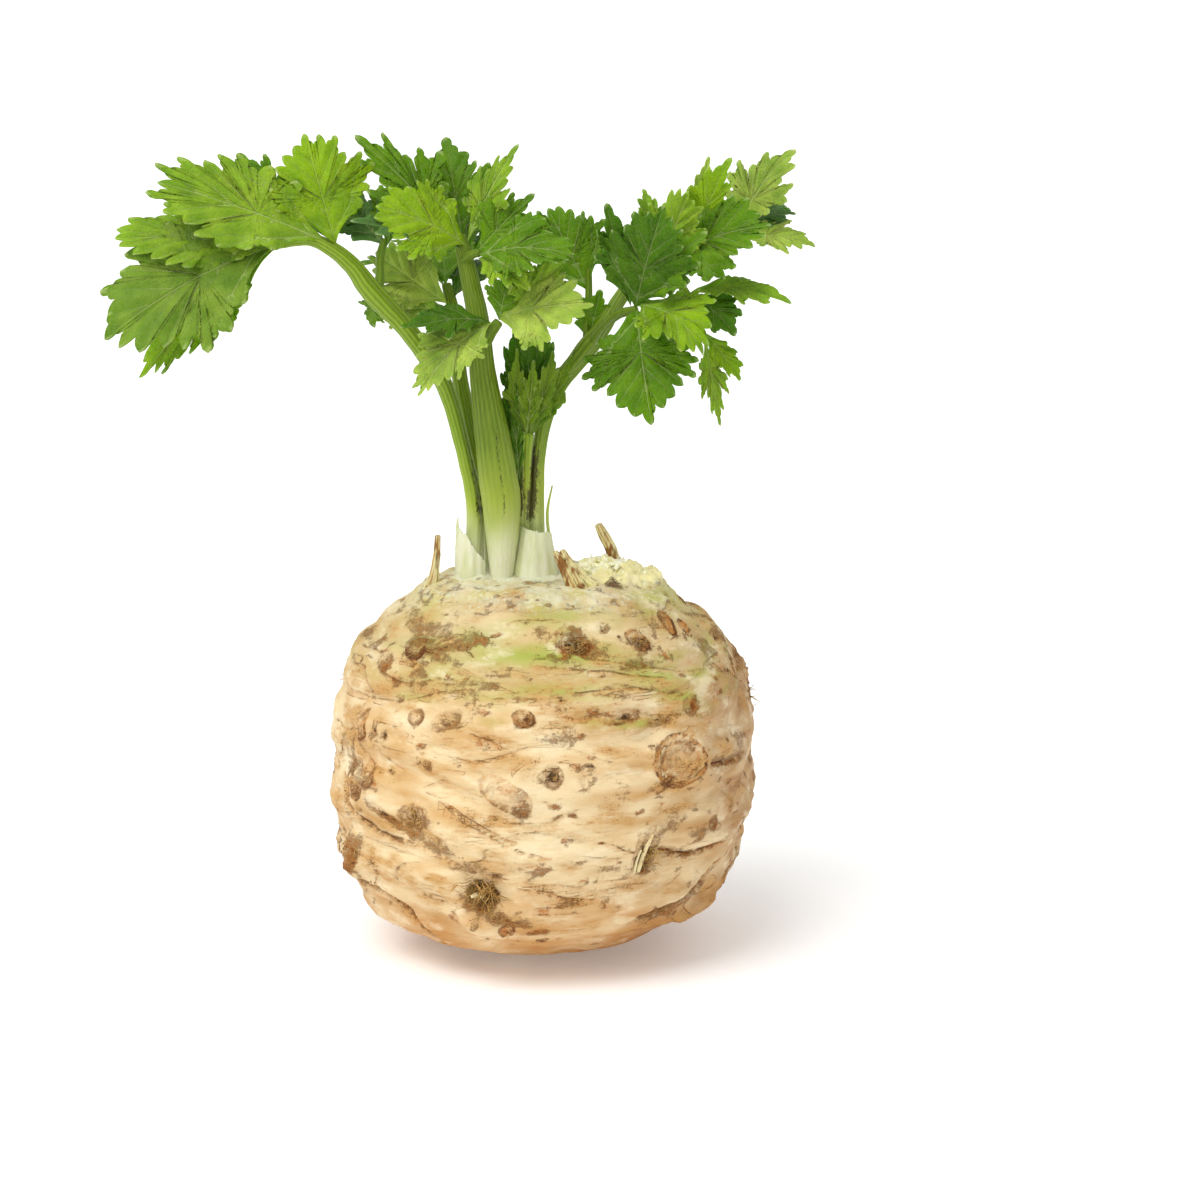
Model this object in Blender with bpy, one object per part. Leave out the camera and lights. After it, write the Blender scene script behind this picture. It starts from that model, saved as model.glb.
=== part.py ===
"""A celeriac root with its leafy stems, standing on the small flat spot under it.

All lengths are in millimetres until a mesh is made. +Z is up, the origin is the middle of the
flat spot, and the root's front faces -Y. An azimuth turns from the front towards +X.
"""

import math
from typing import NamedTuple

import bmesh
import bpy
import numpy as np

MM = 0.001

SPOT_RADIUS = 10.0
CROWN_RADIUS, CROWN_Z = 25.0, 113.0
# The root's side as (radius, z), from the flat spot under it up to the crown.
ROOT_SIDE = (
    (SPOT_RADIUS, 0),
    (18, 1.7),
    (28, 4.4),
    (37, 7.0),
    (45.5, 10.4),
    (51.5, 14.6),
    (56.5, 21.5),
    (61, 32),
    (63.8, 45),
    (64.5, 58),
    (64, 70),
    (61.3, 82),
    (55.6, 93),
    (47.4, 102),
    (37.4, 108.5),
    (29.5, 112),
    (CROWN_RADIUS, CROWN_Z),
)
# How far the crown and the belly stand off from right above the flat spot.
CROWN_SHIFT_X = 1.5
BELLY_SHIFT_X = 3.4
ROOT_COLUMNS = 64
ROOT_ROWS = 30
ROWS_HELD_FLAT = 3
PROFILE_STEPS = 12

# The root isn't quite round: (how many times round, share of the radius, start, twist).
ROOT_LOBES = ((2, 0.026, 0.5, 1), (3, 0.018, -1.3, 2), (5, 0.014, 2.1, -3))
LOBE_TWIST, LOBE_TWIST_RISE = 0.4, 31.0

# Old leaf rows left rings round it: their spacing, their relief, and how they wave.
BAND_SPACING = 21.0
BAND_RELIEF, FINE_BAND_RELIEF, FINE_BANDS = 0.8, 0.35, 2.3
BAND_WAVES = ((2, 4.2, 0.4), (5, 2.4, 1.9))

# A mark's relief falls off from its middle as a bell curve, and its radius is near the edge.
MARK_FALL = 1.6

SHARP_FROM_DEGREES = 45

STEM_GAP = 0.3
STEM_FOOT_Z = CROWN_Z + STEM_GAP
STEM_SIDES = 8
TWIG_SIDES = 6

BLADE_THICKNESS = 0.8
INNER_RING = 0.5


class Mark(NamedTuple):
    """A swelling (relief above 0) or a pit (below 0) on the root's skin."""

    azimuth: float
    z: float
    radius: float
    relief: float


class Leaflet(NamedTuple):
    """A toothed blade from its base to its tip. Its upper side looks towards face."""

    base: tuple
    tip: tuple
    width: float
    face: tuple = (0.0, -1.0, 0.3)
    kind: str = "small"
    arch: float = 2.0
    fold: float = 0.12


class Outline(NamedTuple):
    """One half of a blade's edge, from base to tip, in shares of its width and its length.

    The blade is a fan round the middle, a point on its midrib. A blade with an inner ring
    bends more smoothly; the ring runs halfway to the edge points that ring_at counts out.
    """

    middle: float
    half: tuple
    ring_at: tuple = ()


OUTLINES = {
    "broad": Outline(
        0.42,
        (
            (0.0, 0.0),
            (0.085, 0.11),
            (0.23, 0.235),
            (0.39, 0.30),
            (0.385, 0.365),
            (0.50, 0.43),
            (0.465, 0.49),
            (0.545, 0.59),
            (0.455, 0.605),
            (0.455, 0.70),
            (0.345, 0.665),
            (0.225, 0.59),
            (0.345, 0.76),
            (0.275, 0.785),
            (0.285, 0.885),
            (0.185, 0.88),
            (0.145, 0.965),
            (0.065, 0.945),
            (0.0, 1.0),
        ),
        (0, 3, 7, 11, 14, 18),
    ),
    "cut": Outline(
        0.38,
        (
            (0.0, 0.0),
            (0.07, 0.17),
            (0.17, 0.27),
            (0.35, 0.35),
            (0.31, 0.42),
            (0.51, 0.52),
            (0.41, 0.55),
            (0.44, 0.67),
            (0.30, 0.61),
            (0.13, 0.51),
            (0.25, 0.68),
            (0.18, 0.71),
            (0.21, 0.84),
            (0.11, 0.84),
            (0.0, 1.0),
        ),
    ),
    "small": Outline(
        0.42,
        (
            (0.0, 0.0),
            (0.16, 0.20),
            (0.41, 0.34),
            (0.37, 0.42),
            (0.52, 0.58),
            (0.30, 0.61),
            (0.35, 0.80),
            (0.20, 0.81),
            (0.0, 1.0),
        ),
    ),
}


class Stem(NamedTuple):
    """A leafy stem: its stalk and twigs as (x, y, z, radius) along each, and its leaflets."""

    stalk: tuple
    twigs: tuple
    leaflets: tuple


MARKS = (
    Mark(43, 67, 9.0, 2.2),
    Mark(17, 102, 5.5, -2.4),
    Mark(42, 101, 4.5, -1.6),
    Mark(-43, 98, 4.5, 1.2),
    Mark(-56, 75, 6.0, 2.2),
    Mark(-30, 100, 8.0, 1.4),
    Mark(29, 82, 7.0, -1.8),
    Mark(-9, 63, 9.0, 1.6),
    Mark(-52, 58, 9.0, 2.4),
    Mark(-38, 52, 8.0, -1.8),
    Mark(-65, 33, 8.0, 3.6),
    Mark(-15, 30, 7.5, -3.6),
    Mark(-17, 20, 7.0, 3.0),
    Mark(34, 41, 7.5, -3.0),
    Mark(60, 22, 10.0, -2.6),
    Mark(50, 48, 12.0, 1.8),
    Mark(92, 110, 9.0, 5.0),
    Mark(112, 84, 9.0, 2.6),
    Mark(128, 52, 11.0, -2.2),
    Mark(150, 96, 7.0, -2.0),
    Mark(158, 66, 10.0, 2.8),
    Mark(176, 34, 9.0, 3.0),
    Mark(-162, 80, 8.0, -2.2),
    Mark(-140, 48, 11.0, 2.6),
    Mark(-128, 90, 9.0, 2.4),
    Mark(-104, 62, 8.0, -2.4),
    Mark(-98, 30, 9.0, 2.8),
    Mark(-150, 24, 8.0, -2.4),
    Mark(138, 24, 8.0, 2.4),
)

# Withered ends of old stems on the crown, as (x, y, z, radius).
CROWN_STUBS = (
    ((-31, -8, 101, 3.4), (-30, -7, 109, 2.6), (-28.5, -6, 117, 2.0), (-27.5, -5, 125, 1.2)),
    ((16, -16, 104, 3.6), (14, -15, 112, 3.0), (10.5, -14, 118, 2.6), (8, -13, 123, 1.7)),
    ((25, 4, 108, 3.4), (23.5, 5, 117, 2.4), (21, 5, 123, 1.8), (19, 5, 128, 1.0)),
    ((4, 24, 104, 3.6), (4, 22, 112, 2.8), (3, 20, 118, 2.2), (2, 19, 122, 1.2)),
    ((-22, 20, 103, 3.4), (-22, 18, 112, 2.6), (-23, 17, 119, 1.4)),
)

STEMS = {
    "leafy_stem_left": Stem(
        stalk=(
            (-18.2, -0.2, STEM_FOOT_Z, 3.2),
            (-17.6, 1.4, 122, 3.0),
            (-17.2, 2.2, 130, 2.8),
            (-18.2, 2.2, 139, 2.5),
            (-20.1, 1, 148, 2.3),
            (-23.4, 0, 162, 2.4),
            (-26.4, -1, 171, 2.6),
            (-30.2, -3, 178, 2.8),
            (-38, -5, 189, 2.9),
            (-47, -6, 199, 3.3),
            (-53, -7, 207, 2.6),
            (-59, -8, 212, 2.2),
            (-65, -9, 214.5, 1.8),
            (-73, -10, 213.5, 1.4),
            (-79.5, -11, 211.5, 1.1),
        ),
        twigs=(((-46, -6, 197, 2.0), (-45, -1, 202, 1.6), (-45, 3, 208, 1.4), (-44, 6, 213, 1.1)),),
        leaflets=(
            Leaflet((-57.4, -8, 212.5), (-66.3, -4, 243.9), 28, (0.15, -1, 0.1), "broad", 2.0),
            Leaflet((-59, -9, 213.4), (-109.7, -16, 231.7), 27, (0.1, -0.8, 0.5), "broad", 3.0, 0.15),
            Leaflet((-67.8, -9, 214.3), (-85.5, -2, 238.2), 15, (0.3, -1, 0.1), "small", 2.0),
            Leaflet((-75.2, -11, 212.8), (-123.1, -22, 187.1), 41, (-0.3, -0.8, 0.35), "broad", 6.0, 0.1),
            Leaflet((-70.1, -9, 213.7), (-122, -14, 214.8), 22, (-0.1, -0.8, 0.5), "broad", 3.0),
            Leaflet((-74.1, -10.5, 212.7), (-114.5, -7, 175.6), 21, (-0.4, -0.8, 0.3), "broad", 4.0),
            Leaflet((-43.5, 5, 210.9), (-56.7, 15, 225.1), 15, (-0.2, -0.9, 0.3), "small", 2.0),
            Leaflet((-43.5, 5, 210.9), (-39.3, 18, 229.1), 17, (0.2, -0.9, 0.4), "small", 2.0),
            Leaflet((-44.7, -3, 198.4), (-47.7, 6, 187.6), 9, (-0.6, -0.7, 0.2), "small", 1.0),
            Leaflet((-58.1, -6, 212.3), (-65.8, 24, 223.2), 24, (-0.2, 0.3, 1), "broad", 3.0),
        ),
    ),
    "leafy_stem_centre": Stem(
        stalk=(
            (-9.6, -2, STEM_FOOT_Z, 3.3),
            (-9.5, -2.2, 120, 4.1),
            (-9.4, -2.5, 127, 4.9),
            (-9.6, -3, 136, 5.6),
            (-10.6, -3.2, 144, 5.6),
            (-11.8, -3.5, 153, 5.2),
            (-13.4, -4, 164, 4.5),
            (-14.8, -4, 174, 3.8),
            (-15.5, -4, 183, 3.4),
            (-16.4, -4, 192, 3.0),
            (-18.2, -3.5, 201, 2.6),
            (-20, -3, 209, 2.2),
            (-21.5, -2.5, 215, 1.6),
        ),
        twigs=(
            ((-15, -5, 183, 2.2), (-12.5, -8.5, 187, 1.9), (-10, -11, 190.5, 1.5)),
            ((-20, -4, 208, 1.8), (-17.5, -6.5, 210, 1.4), (-15.5, -8, 210.5, 1.2)),
        ),
        leaflets=(
            Leaflet((-20.1, -4, 213), (-51.2, 2, 243.2), 24, (0.2, -0.95, 0.35), "cut", 2.5, 0.15),
            Leaflet((-20.5, -2, 213.6), (-25.7, 9, 242.1), 28, (0, -0.95, 0.25), "cut", 2.5, 0.15),
            Leaflet((-19.5, -4, 212.7), (-4.4, -6, 241.4), 15, (-0.3, -0.9, 0.3), "cut", 2.5, 0.15),
            Leaflet((-19.5, -3.6, 212), (-46.2, -16, 224.8), 24, (0.1, -0.85, 0.5), "broad", 4.0, 0.1),
            Leaflet((-19.5, -3.8, 211.2), (-51.9, -19, 220.5), 13, (-0.1, -0.6, 0.8), "small", 2.0),
            Leaflet((-17.1, -7, 209.7), (-0.3, -9, 227.1), 20, (-0.1, -0.95, 0.3), "cut", 1.5),
            Leaflet((-15.9, -8, 209.5), (12.3, -20, 211.3), 19, (-0.1, -0.75, 0.6), "broad", 4.0, 0.15),
            Leaflet((-15.9, -8, 209.2), (-0.5, -20, 200.9), 13, (0.1, -0.8, 0.5), "small", 3.0),
            Leaflet((-9.8, -10, 191), (16.3, -22, 196.7), 27, (0.05, -0.8, 0.6), "broad", 3.0, 0.1),
            Leaflet((-9.8, -10, 191), (10.2, -13, 208.3), 17, (-0.2, -0.95, 0.2), "cut", 2.0),
            Leaflet((-9.8, -10, 191), (-5.9, -9, 205), 12, (-0.1, -0.9, 0.3), "small", 2.0),
            Leaflet((-11.2, -10, 190.4), (-32.5, -22, 171.7), 20, (-0.5, -0.7, 0.4), "broad", 3.5, 0.15),
            Leaflet((-11.8, -10, 190.4), (-37.2, -19, 188.5), 14, (-0.1, -0.6, 0.8), "small", 3.0),
            Leaflet((-19.3, -2, 211.6), (-21.7, 26, 221.2), 25, (0, 0.35, 1), "broad", 3.5),
            Leaflet((-18.7, -2, 208.7), (3.1, 15, 214.7), 21, (0.3, 0.2, 1), "broad", 3.0),
        ),
    ),
    "leafy_stem_young": Stem(
        stalk=(
            (-3.3, 3.4, STEM_FOOT_Z, 1.6),
            (-3.1, 3.0, 124, 1.6),
            (-2.8, 2.0, 138, 1.7),
            (-2.7, 0.5, 148, 1.8),
            (-2.2, -1.0, 156, 1.9),
        ),
        twigs=(),
        leaflets=(
            Leaflet((-2.6, -1, 154), (-5.0, -4, 180), 7, (-0.5, -0.9, 0), "small", 1.2, 0.3),
            Leaflet((-2.2, -1, 154), (0.2, -7, 178), 7, (0.1, -1, 0), "small", 1.2, 0.35),
            Leaflet((-1.8, -1, 154), (6.0, -4, 182), 8, (0.5, -0.9, 0), "small", 1.5, 0.35),
            Leaflet((-1.6, -0.6, 154), (11.5, 0.5, 180), 7, (0.5, -0.9, 0), "small", 1.5, 0.3),
            Leaflet((-2.2, -0.5, 153), (2.0, 1.0, 191), 14, (0.1, -0.9, -0.2), "small", 2.0),
            Leaflet((-2.4, -0.5, 153), (-5.5, 3.5, 188), 10, (-0.3, -0.9, -0.2), "small", 2.0),
        ),
    ),
    "leafy_stem_right": Stem(
        stalk=(
            (1.1, 3.6, STEM_FOOT_Z, 2.1),
            (1.0, 3.4, 129, 2.0),
            (1.1, 3.6, 141, 1.8),
            (1.9, 4, 151, 1.8),
            (3.9, 4.6, 161, 2.0),
            (7.8, 5, 170, 2.3),
            (12.4, 6, 176, 2.6),
            (16.5, 7, 181, 2.9),
            (21, 8, 187, 2.2),
            (26, 12, 195, 1.9),
            (32, 16, 202, 1.8),
            (40, 20, 208, 1.7),
            (50, 22, 212, 1.5),
            (61, 25, 216, 1.2),
        ),
        twigs=(
            ((16, 7, 179, 1.8), (16, 10, 186, 1.3), (16.5, 13, 195, 1.2), (16.5, 15, 203, 1.0)),
            ((17, 7, 181, 2.0), (20.5, 3, 187, 1.6), (25, -2, 191.5, 1.5), (30.4, -5.7, 193.6, 1.3)),
            ((37, 18, 205, 1.5), (43.5, 15, 199, 1.3), (48, 13, 192, 1.1), (50.5, 12, 184, 0.9)),
        ),
        leaflets=(
            Leaflet((16.5, 14, 196.6), (4.2, 20, 221.1), 22, (0.1, -0.95, 0.1), "broad", 1.5),
            Leaflet((16.2, 14, 198.7), (14.7, 21, 219.9), 12, (-0.1, -0.95, 0.1), "cut", 1.5),
            Leaflet((30.1, -5.5, 194), (38.1, -13, 224), 27, (-0.1, -0.95, 0.3), "broad", 2.5, 0.15),
            Leaflet((28.9, -5, 194.5), (21.8, -9, 223.6), 14, (0.2, -0.95, 0.2), "small", 1.5),
            Leaflet((30.1, -5.5, 194.6), (48.9, -12, 215.8), 17, (-0.4, -0.9, 0.3), "small", 2.0),
            Leaflet((30.4, -5.5, 194), (34.4, -15, 163.3), 31, (-0.1, -0.95, 0.35), "broad", 3.0),
            Leaflet((30.4, -6, 194.6), (50, -20, 184.6), 28, (0.4, -0.7, 0.75), "broad", 4.0),
            Leaflet((16.2, 10, 180.9), (20.1, 13, 196.4), 13, (-0.2, -0.9, 0.2), "small", 1.5),
            Leaflet((41.4, 19, 205.1), (69.1, 4, 217.8), 27, (-0.2, -0.85, 0.6), "broad", 4.0),
            Leaflet((48, 20, 209.5), (58.7, 15, 236.4), 14, (-0.3, -0.9, 0.3), "small", 3.0),
            Leaflet((37.8, 17, 203.5), (46.4, 8, 227.5), 20, (-0.1, -0.9, 0.3), "broad", 2.0),
            Leaflet((36.3, 17, 202.3), (32.7, 20, 228.3), 14, (0.4, -0.9, 0.3), "cut", 2.0),
            Leaflet((46.8, 21, 210.3), (52.3, 27, 234.9), 8, (0, -0.9, 0.3), "small", 2.0),
            Leaflet((59.8, 24, 211.8), (76.8, 31, 237.7), 24, (-0.5, -0.8, 0.4), "cut", 2.5),
            Leaflet((60.4, 24, 211.8), (77.1, 40, 220), 18, (0.2, -0.3, 1), "small", 2.5),
            Leaflet((60.4, 24, 211.8), (84.8, 23, 209.5), 16, (0, -0.6, 0.8), "cut", 2.5),
            Leaflet((45.5, 14.5, 196.5), (75.8, 9, 194.2), 15, (0, -0.4, 0.9), "small", 3.0),
            Leaflet((46.7, 13.5, 195.5), (60.2, 5, 183.9), 18, (0.3, -0.8, 0.4), "small", 3.0),
            Leaflet((50.6, 12, 184.5), (55.8, 10, 157.3), 9, (0.1, -0.95, 0), "cut", 1.5),
            Leaflet((50.6, 12, 185.1), (61.8, 13, 170.2), 8, (0.3, -0.9, 0.2), "small", 1.5),
            Leaflet((50.1, 21.5, 208.7), (61.4, 52, 212.3), 25, (0.1, 0.1, 1), "broad", 4.0),
            Leaflet((34.8, 16.5, 201.1), (31.1, 45, 209.2), 24, (-0.2, 0.2, 1), "broad", 4.0),
        ),
    ),
    "leafy_stem_back": Stem(
        stalk=(
            (-13.5, 10.0, STEM_FOOT_Z, 3.2),
            (-14, 10.5, 125, 3.0),
            (-15.5, 11, 136, 2.8),
            (-18.6, 12, 152, 2.5),
            (-22, 13.5, 169, 2.3),
            (-23.6, 16, 181, 2.1),
            (-24.5, 19, 191, 1.8),
            (-26.5, 23, 198, 1.3),
        ),
        twigs=(),
        leaflets=(
            Leaflet((-25.9, 18.5, 192.5), (-48.3, 25, 208.1), 19, (-0.2, -0.9, 0.1), "broad", 3.0),
            Leaflet((-25.6, 18, 190.7), (-46.8, 26, 187.4), 17, (-0.2, -0.8, 0.6), "small", 3.0),
            Leaflet((-26.6, 22, 198.7), (-31.1, 52, 208.6), 27, (0, 0.1, 1), "broad", 4.0),
            Leaflet((-25.6, 19.5, 193), (-5.6, 40, 203), 23, (0.2, 0.2, 1), "broad", 4.0),
            Leaflet((-26.9, 22, 198.7), (-53.2, 44, 200.7), 23, (-0.3, 0.3, 1), "broad", 4.0),
        ),
    ),
}


class Sheath(NamedTuple):
    """The pale foot of a stem that was cut off: a curved wall round (x, y) that leans in.

    Its edge is a row of (azimuth, height), and slivers are thin shoots left standing on it.
    """

    x: float
    y: float
    radius: float
    wall: float
    lean: float
    edge: tuple
    slivers: tuple = ()


SHEATHS = {
    "cut_sheath_left": Sheath(
        x=-18.4,
        y=-0.8,
        radius=5.2,
        wall=1.0,
        lean=0.03,
        edge=(
            (-105, 13.5),
            (-88, 15.6),
            (-74, 18.0),
            (-58, 15.0),
            (-36, 14.0),
            (-16, 13.2),
            (0, 10.6),
            (18, 8.2),
            (36, 6.4),
            (54, 4.8),
        ),
    ),
    "cut_sheath_right": Sheath(
        x=0.4,
        y=1.2,
        radius=7.4,
        wall=1.2,
        lean=0.19,
        edge=(
            (-84, 14.6),
            (-60, 14.8),
            (-36, 14.7),
            (-12, 14.3),
            (12, 13.9),
            (36, 13.6),
            (60, 13.4),
            (84, 12.8),
        ),
        slivers=(((4.9, 0.5, 122, 0.75), (4.2, 0.8, 132, 0.6), (5.6, 1.0, 140, 0.35)),),
    ),
}

COLOURS = {
    "root_skin": ((0.72, 0.55, 0.33, 1), 0.75),
    "leaf": ((0.13, 0.30, 0.04, 1), 0.45),
    "sheath": ((0.78, 0.80, 0.58, 1), 0.4),
}


def smooth_curve(knots, steps):
    """The points of a smooth curve through knots, with steps spans between each two of them."""
    knots = np.array(knots, float)
    ends = np.vstack([2 * knots[0] - knots[1], knots, 2 * knots[-1] - knots[-2]])
    found = [knots[0]]
    for i in range(1, len(knots)):
        p0, p1, p2, p3 = ends[i - 1 : i + 3]
        for t in np.arange(1, steps + 1) / steps:
            bend = (2 * p0 - 5 * p1 + 4 * p2 - p3) * t**2 + (3 * p1 - p0 - 3 * p2 + p3) * t**3
            found.append(0.5 * (2 * p1 + (p2 - p0) * t + bend))
    return np.array(found)


def root_profile(rows):
    """(radius, z) at even steps of length along the root's side, from flat spot to crown."""
    radius, z = smooth_curve(ROOT_SIDE, PROFILE_STEPS).T
    length = np.concatenate([[0], np.cumsum(np.hypot(np.diff(radius), np.diff(z)))])
    steps = np.linspace(0, length[-1], rows)
    return np.interp(steps, length, radius), np.interp(steps, length, z)


def root_lobes(azimuth, z):
    """How much wider or narrower the root is than a turned body, as a share of its radius."""
    twist = LOBE_TWIST * np.sin(z / LOBE_TWIST_RISE + 0.7)
    return sum(
        share * np.cos(times * azimuth + start + turns * twist)
        for times, share, start, turns in ROOT_LOBES
    )


def root_bands(azimuth, z):
    """The wavy rings that old leaf rows leave round the root, in millimetres."""
    wave = sum(rise * np.sin(times * azimuth + start) for times, rise, start in BAND_WAVES)
    phase = 2 * np.pi * (z + wave) / BAND_SPACING
    return BAND_RELIEF * np.sin(phase) + FINE_BAND_RELIEF * np.sin(FINE_BANDS * phase + 1.2)


def spot_on_root(azimuth, z):
    """The point of the plain turned body at an azimuth in degrees and a height."""
    radius, heights = smooth_curve(ROOT_SIDE, PROFILE_STEPS).T
    reach = np.interp(z, heights, radius)
    turn = math.radians(azimuth)
    return np.array([reach * math.sin(turn), -reach * math.cos(turn), z])


def root_relief(points, azimuth):
    """How far the skin stands out at each point of the turned body, in millimetres."""
    relief = root_bands(azimuth, points[:, 2])
    for mark in MARKS:
        near = np.linalg.norm(points - spot_on_root(mark.azimuth, mark.z), axis=1)
        relief += mark.relief * np.exp(-MARK_FALL * (near / mark.radius) ** 2)
    return relief


def mesh_object(name, points, faces):
    """A smooth-shaded mesh object from points in millimetres."""
    mesh = bpy.data.meshes.new(name)
    mesh.from_pydata([tuple(float(c) * MM for c in p) for p in points], [], faces)
    mesh.update()
    mesh.shade_smooth()
    mesh.set_sharp_from_angle(angle=math.radians(SHARP_FROM_DEGREES))
    thing = bpy.data.objects.new(name, mesh)
    bpy.context.scene.collection.objects.link(thing)
    return thing


def make_root_body():
    """The bulb as one closed mesh, flat under its foot and flat where the stems stand."""
    radius, z = root_profile(ROOT_ROWS)
    azimuth = np.arange(ROOT_COLUMNS) * 2 * np.pi / ROOT_COLUMNS
    turn, row = np.meshgrid(azimuth, np.arange(ROOT_ROWS))
    turn, row = turn.ravel(), row.ravel()
    outward = np.stack([np.sin(turn), -np.cos(turn)], axis=1)
    reach, height = radius[row], z[row]
    points = np.column_stack([outward * reach[:, None], height])
    slope_r, slope_z = np.gradient(radius)[row], np.gradient(z)[row]
    steep = np.hypot(slope_r, slope_z)
    normal = np.column_stack([outward * (slope_z / steep)[:, None], -slope_r / steep])
    held = np.clip(np.minimum(row, ROOT_ROWS - 1 - row) / ROWS_HELD_FLAT, 0, 1)
    swell = root_relief(points, turn) * held
    wider = root_lobes(turn, height) * reach * held
    points += normal * swell[:, None]
    points[:, :2] += outward * wider[:, None]
    climb = height / CROWN_Z
    points[:, 0] += CROWN_SHIFT_X * climb + BELLY_SHIFT_X * np.sin(np.pi * climb)
    faces = [tuple(reversed(range(ROOT_COLUMNS)))]
    for low in range(ROOT_ROWS - 1):
        for column in range(ROOT_COLUMNS):
            beside = (column + 1) % ROOT_COLUMNS
            a, b = low * ROOT_COLUMNS + column, low * ROOT_COLUMNS + beside
            faces.append((a, b, b + ROOT_COLUMNS, a + ROOT_COLUMNS))
    top = (ROOT_ROWS - 1) * ROOT_COLUMNS
    faces.append(tuple(range(top, top + ROOT_COLUMNS)))
    return mesh_object("celeriac_root", points, faces)


def make_tube(name, knots, sides, level_foot=False):
    """A closed tube along knots. A level foot stands flat on the crown."""
    knots = np.array(knots, float)
    centre, radius = knots[:, :3], knots[:, 3]
    along = np.gradient(centre, axis=0)
    along /= np.linalg.norm(along, axis=1)[:, None]
    if level_foot:
        along[0] = (0, 0, 1)
    turns = np.arange(sides) * 2 * np.pi / sides
    points = []
    for at, way, reach in zip(centre, along, radius):
        side = np.cross(way, (0.0, -1.0, 0.05))
        side /= np.linalg.norm(side)
        front = np.cross(side, way)
        for turn in turns:
            points.append(at + reach * (side * math.cos(turn) + front * math.sin(turn)))
    faces = [tuple(range(sides))]
    for ring in range(len(centre) - 1):
        for k in range(sides):
            a, b = ring * sides + k, ring * sides + (k + 1) % sides
            faces.append((b, a, a + sides, b + sides))
    last = (len(centre) - 1) * sides
    faces.append(tuple(reversed(range(last, last + sides))))
    return mesh_object(name, points, faces)


def leaflet_frame(leaflet):
    """(base, length, and the directions across, along and out of a leaflet's blade)."""
    base, tip = np.array(leaflet.base, float), np.array(leaflet.tip, float)
    length = np.linalg.norm(tip - base)
    along = (tip - base) / length
    out = np.array(leaflet.face, float)
    out -= along * (out @ along)
    out /= np.linalg.norm(out)
    return base, length, np.cross(along, out), along, out


def blade_point(leaflet, u, v):
    """Where a blade's point u widths beside its midrib and v lengths from its base lies."""
    base, length, across, along, out = leaflet_frame(leaflet)
    beside = u * leaflet.width
    rise = 4 * leaflet.arch * v * (1 - v) + leaflet.fold * abs(beside)
    return base + across * beside + along * (v * length) + out * rise


def make_leaflet(name, leaflet):
    """A closed toothed blade, with the same triangles on both faces."""
    outline = OUTLINES[leaflet.kind]
    right = list(outline.half)
    left = [(-u, v) for u, v in right[-2:0:-1]]
    edge = np.array(right + left)
    middle = np.array((0.0, outline.middle))
    rim_count = len(edge)
    flat, faces = [middle, *edge], []
    if outline.ring_at:
        half_ring = list(outline.ring_at)
        ring = half_ring + [rim_count - i for i in half_ring[-2:0:-1]]
        flat += [middle + INNER_RING * (edge[i] - middle) for i in ring]
        inside = 1 + rim_count
        for k, start in enumerate(ring):
            after = (k + 1) % len(ring)
            end = ring[after] or rim_count
            faces.append((0, inside + k, inside + after))
            turn = (start + end) // 2
            for i in range(start, end):
                own = inside + (k if i < turn else after)
                faces.append((own, 1 + i, 1 + (i + 1) % rim_count))
            faces.append((inside + k, 1 + turn, inside + after))
    else:
        faces = [(0, 1 + i, 1 + (i + 1) % rim_count) for i in range(rim_count)]
    upper = np.array([blade_point(leaflet, u, v) for u, v in flat])
    half = leaflet_frame(leaflet)[4] * BLADE_THICKNESS / 2
    count = len(upper)
    under = [tuple(count + i for i in reversed(face)) for face in faces]
    sides = []
    for i in range(rim_count):
        a, b = 1 + i, 1 + (i + 1) % rim_count
        sides += [(b, a, count + a), (b, count + a, count + b)]
    return mesh_object(name, np.vstack([upper + half, upper - half]), faces + under + sides)


def islands(work):
    """The groups of faces that hang together."""
    left = set(work.faces)
    while left:
        start = left.pop()
        found, edge = {start}, [start]
        while edge:
            for side in edge.pop().edges:
                for beside in side.link_faces:
                    if beside in left:
                        left.remove(beside)
                        found.add(beside)
                        edge.append(beside)
        yield found


def fill_hollows(mesh):
    """Drops the inner skins of the small hollows that crossing blades shut in."""
    work = bmesh.new()
    work.from_mesh(mesh)
    bmesh.ops.triangulate(work, faces=work.faces)
    for faces in list(islands(work)):
        corners = [[v.co for v in face.verts] for face in faces]
        if sum(a.dot(b.cross(c)) for a, b, c in corners) < 0:
            bmesh.ops.delete(work, geom=list(faces), context="FACES")
    work.to_mesh(mesh)
    work.free()


def fused(solids):
    """One body out of closed meshes that run into each other; it keeps the first one's name."""
    body, *others = solids
    if not others:
        return body
    helpers = bpy.data.collections.new("to_join")
    bpy.context.scene.collection.children.link(helpers)
    for other in others:
        helpers.objects.link(other)
    join = body.modifiers.new("join", "BOOLEAN")
    join.operation = "UNION"
    join.operand_type = "COLLECTION"
    join.collection = helpers
    join.solver = "MANIFOLD"
    bpy.context.view_layer.update()
    graph = bpy.context.evaluated_depsgraph_get()
    whole = bpy.data.meshes.new_from_object(body.evaluated_get(graph))
    fill_hollows(whole)
    body.modifiers.clear()
    body.data = whole
    for other in others:
        bpy.data.objects.remove(other)
    bpy.data.collections.remove(helpers)
    return body


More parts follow.
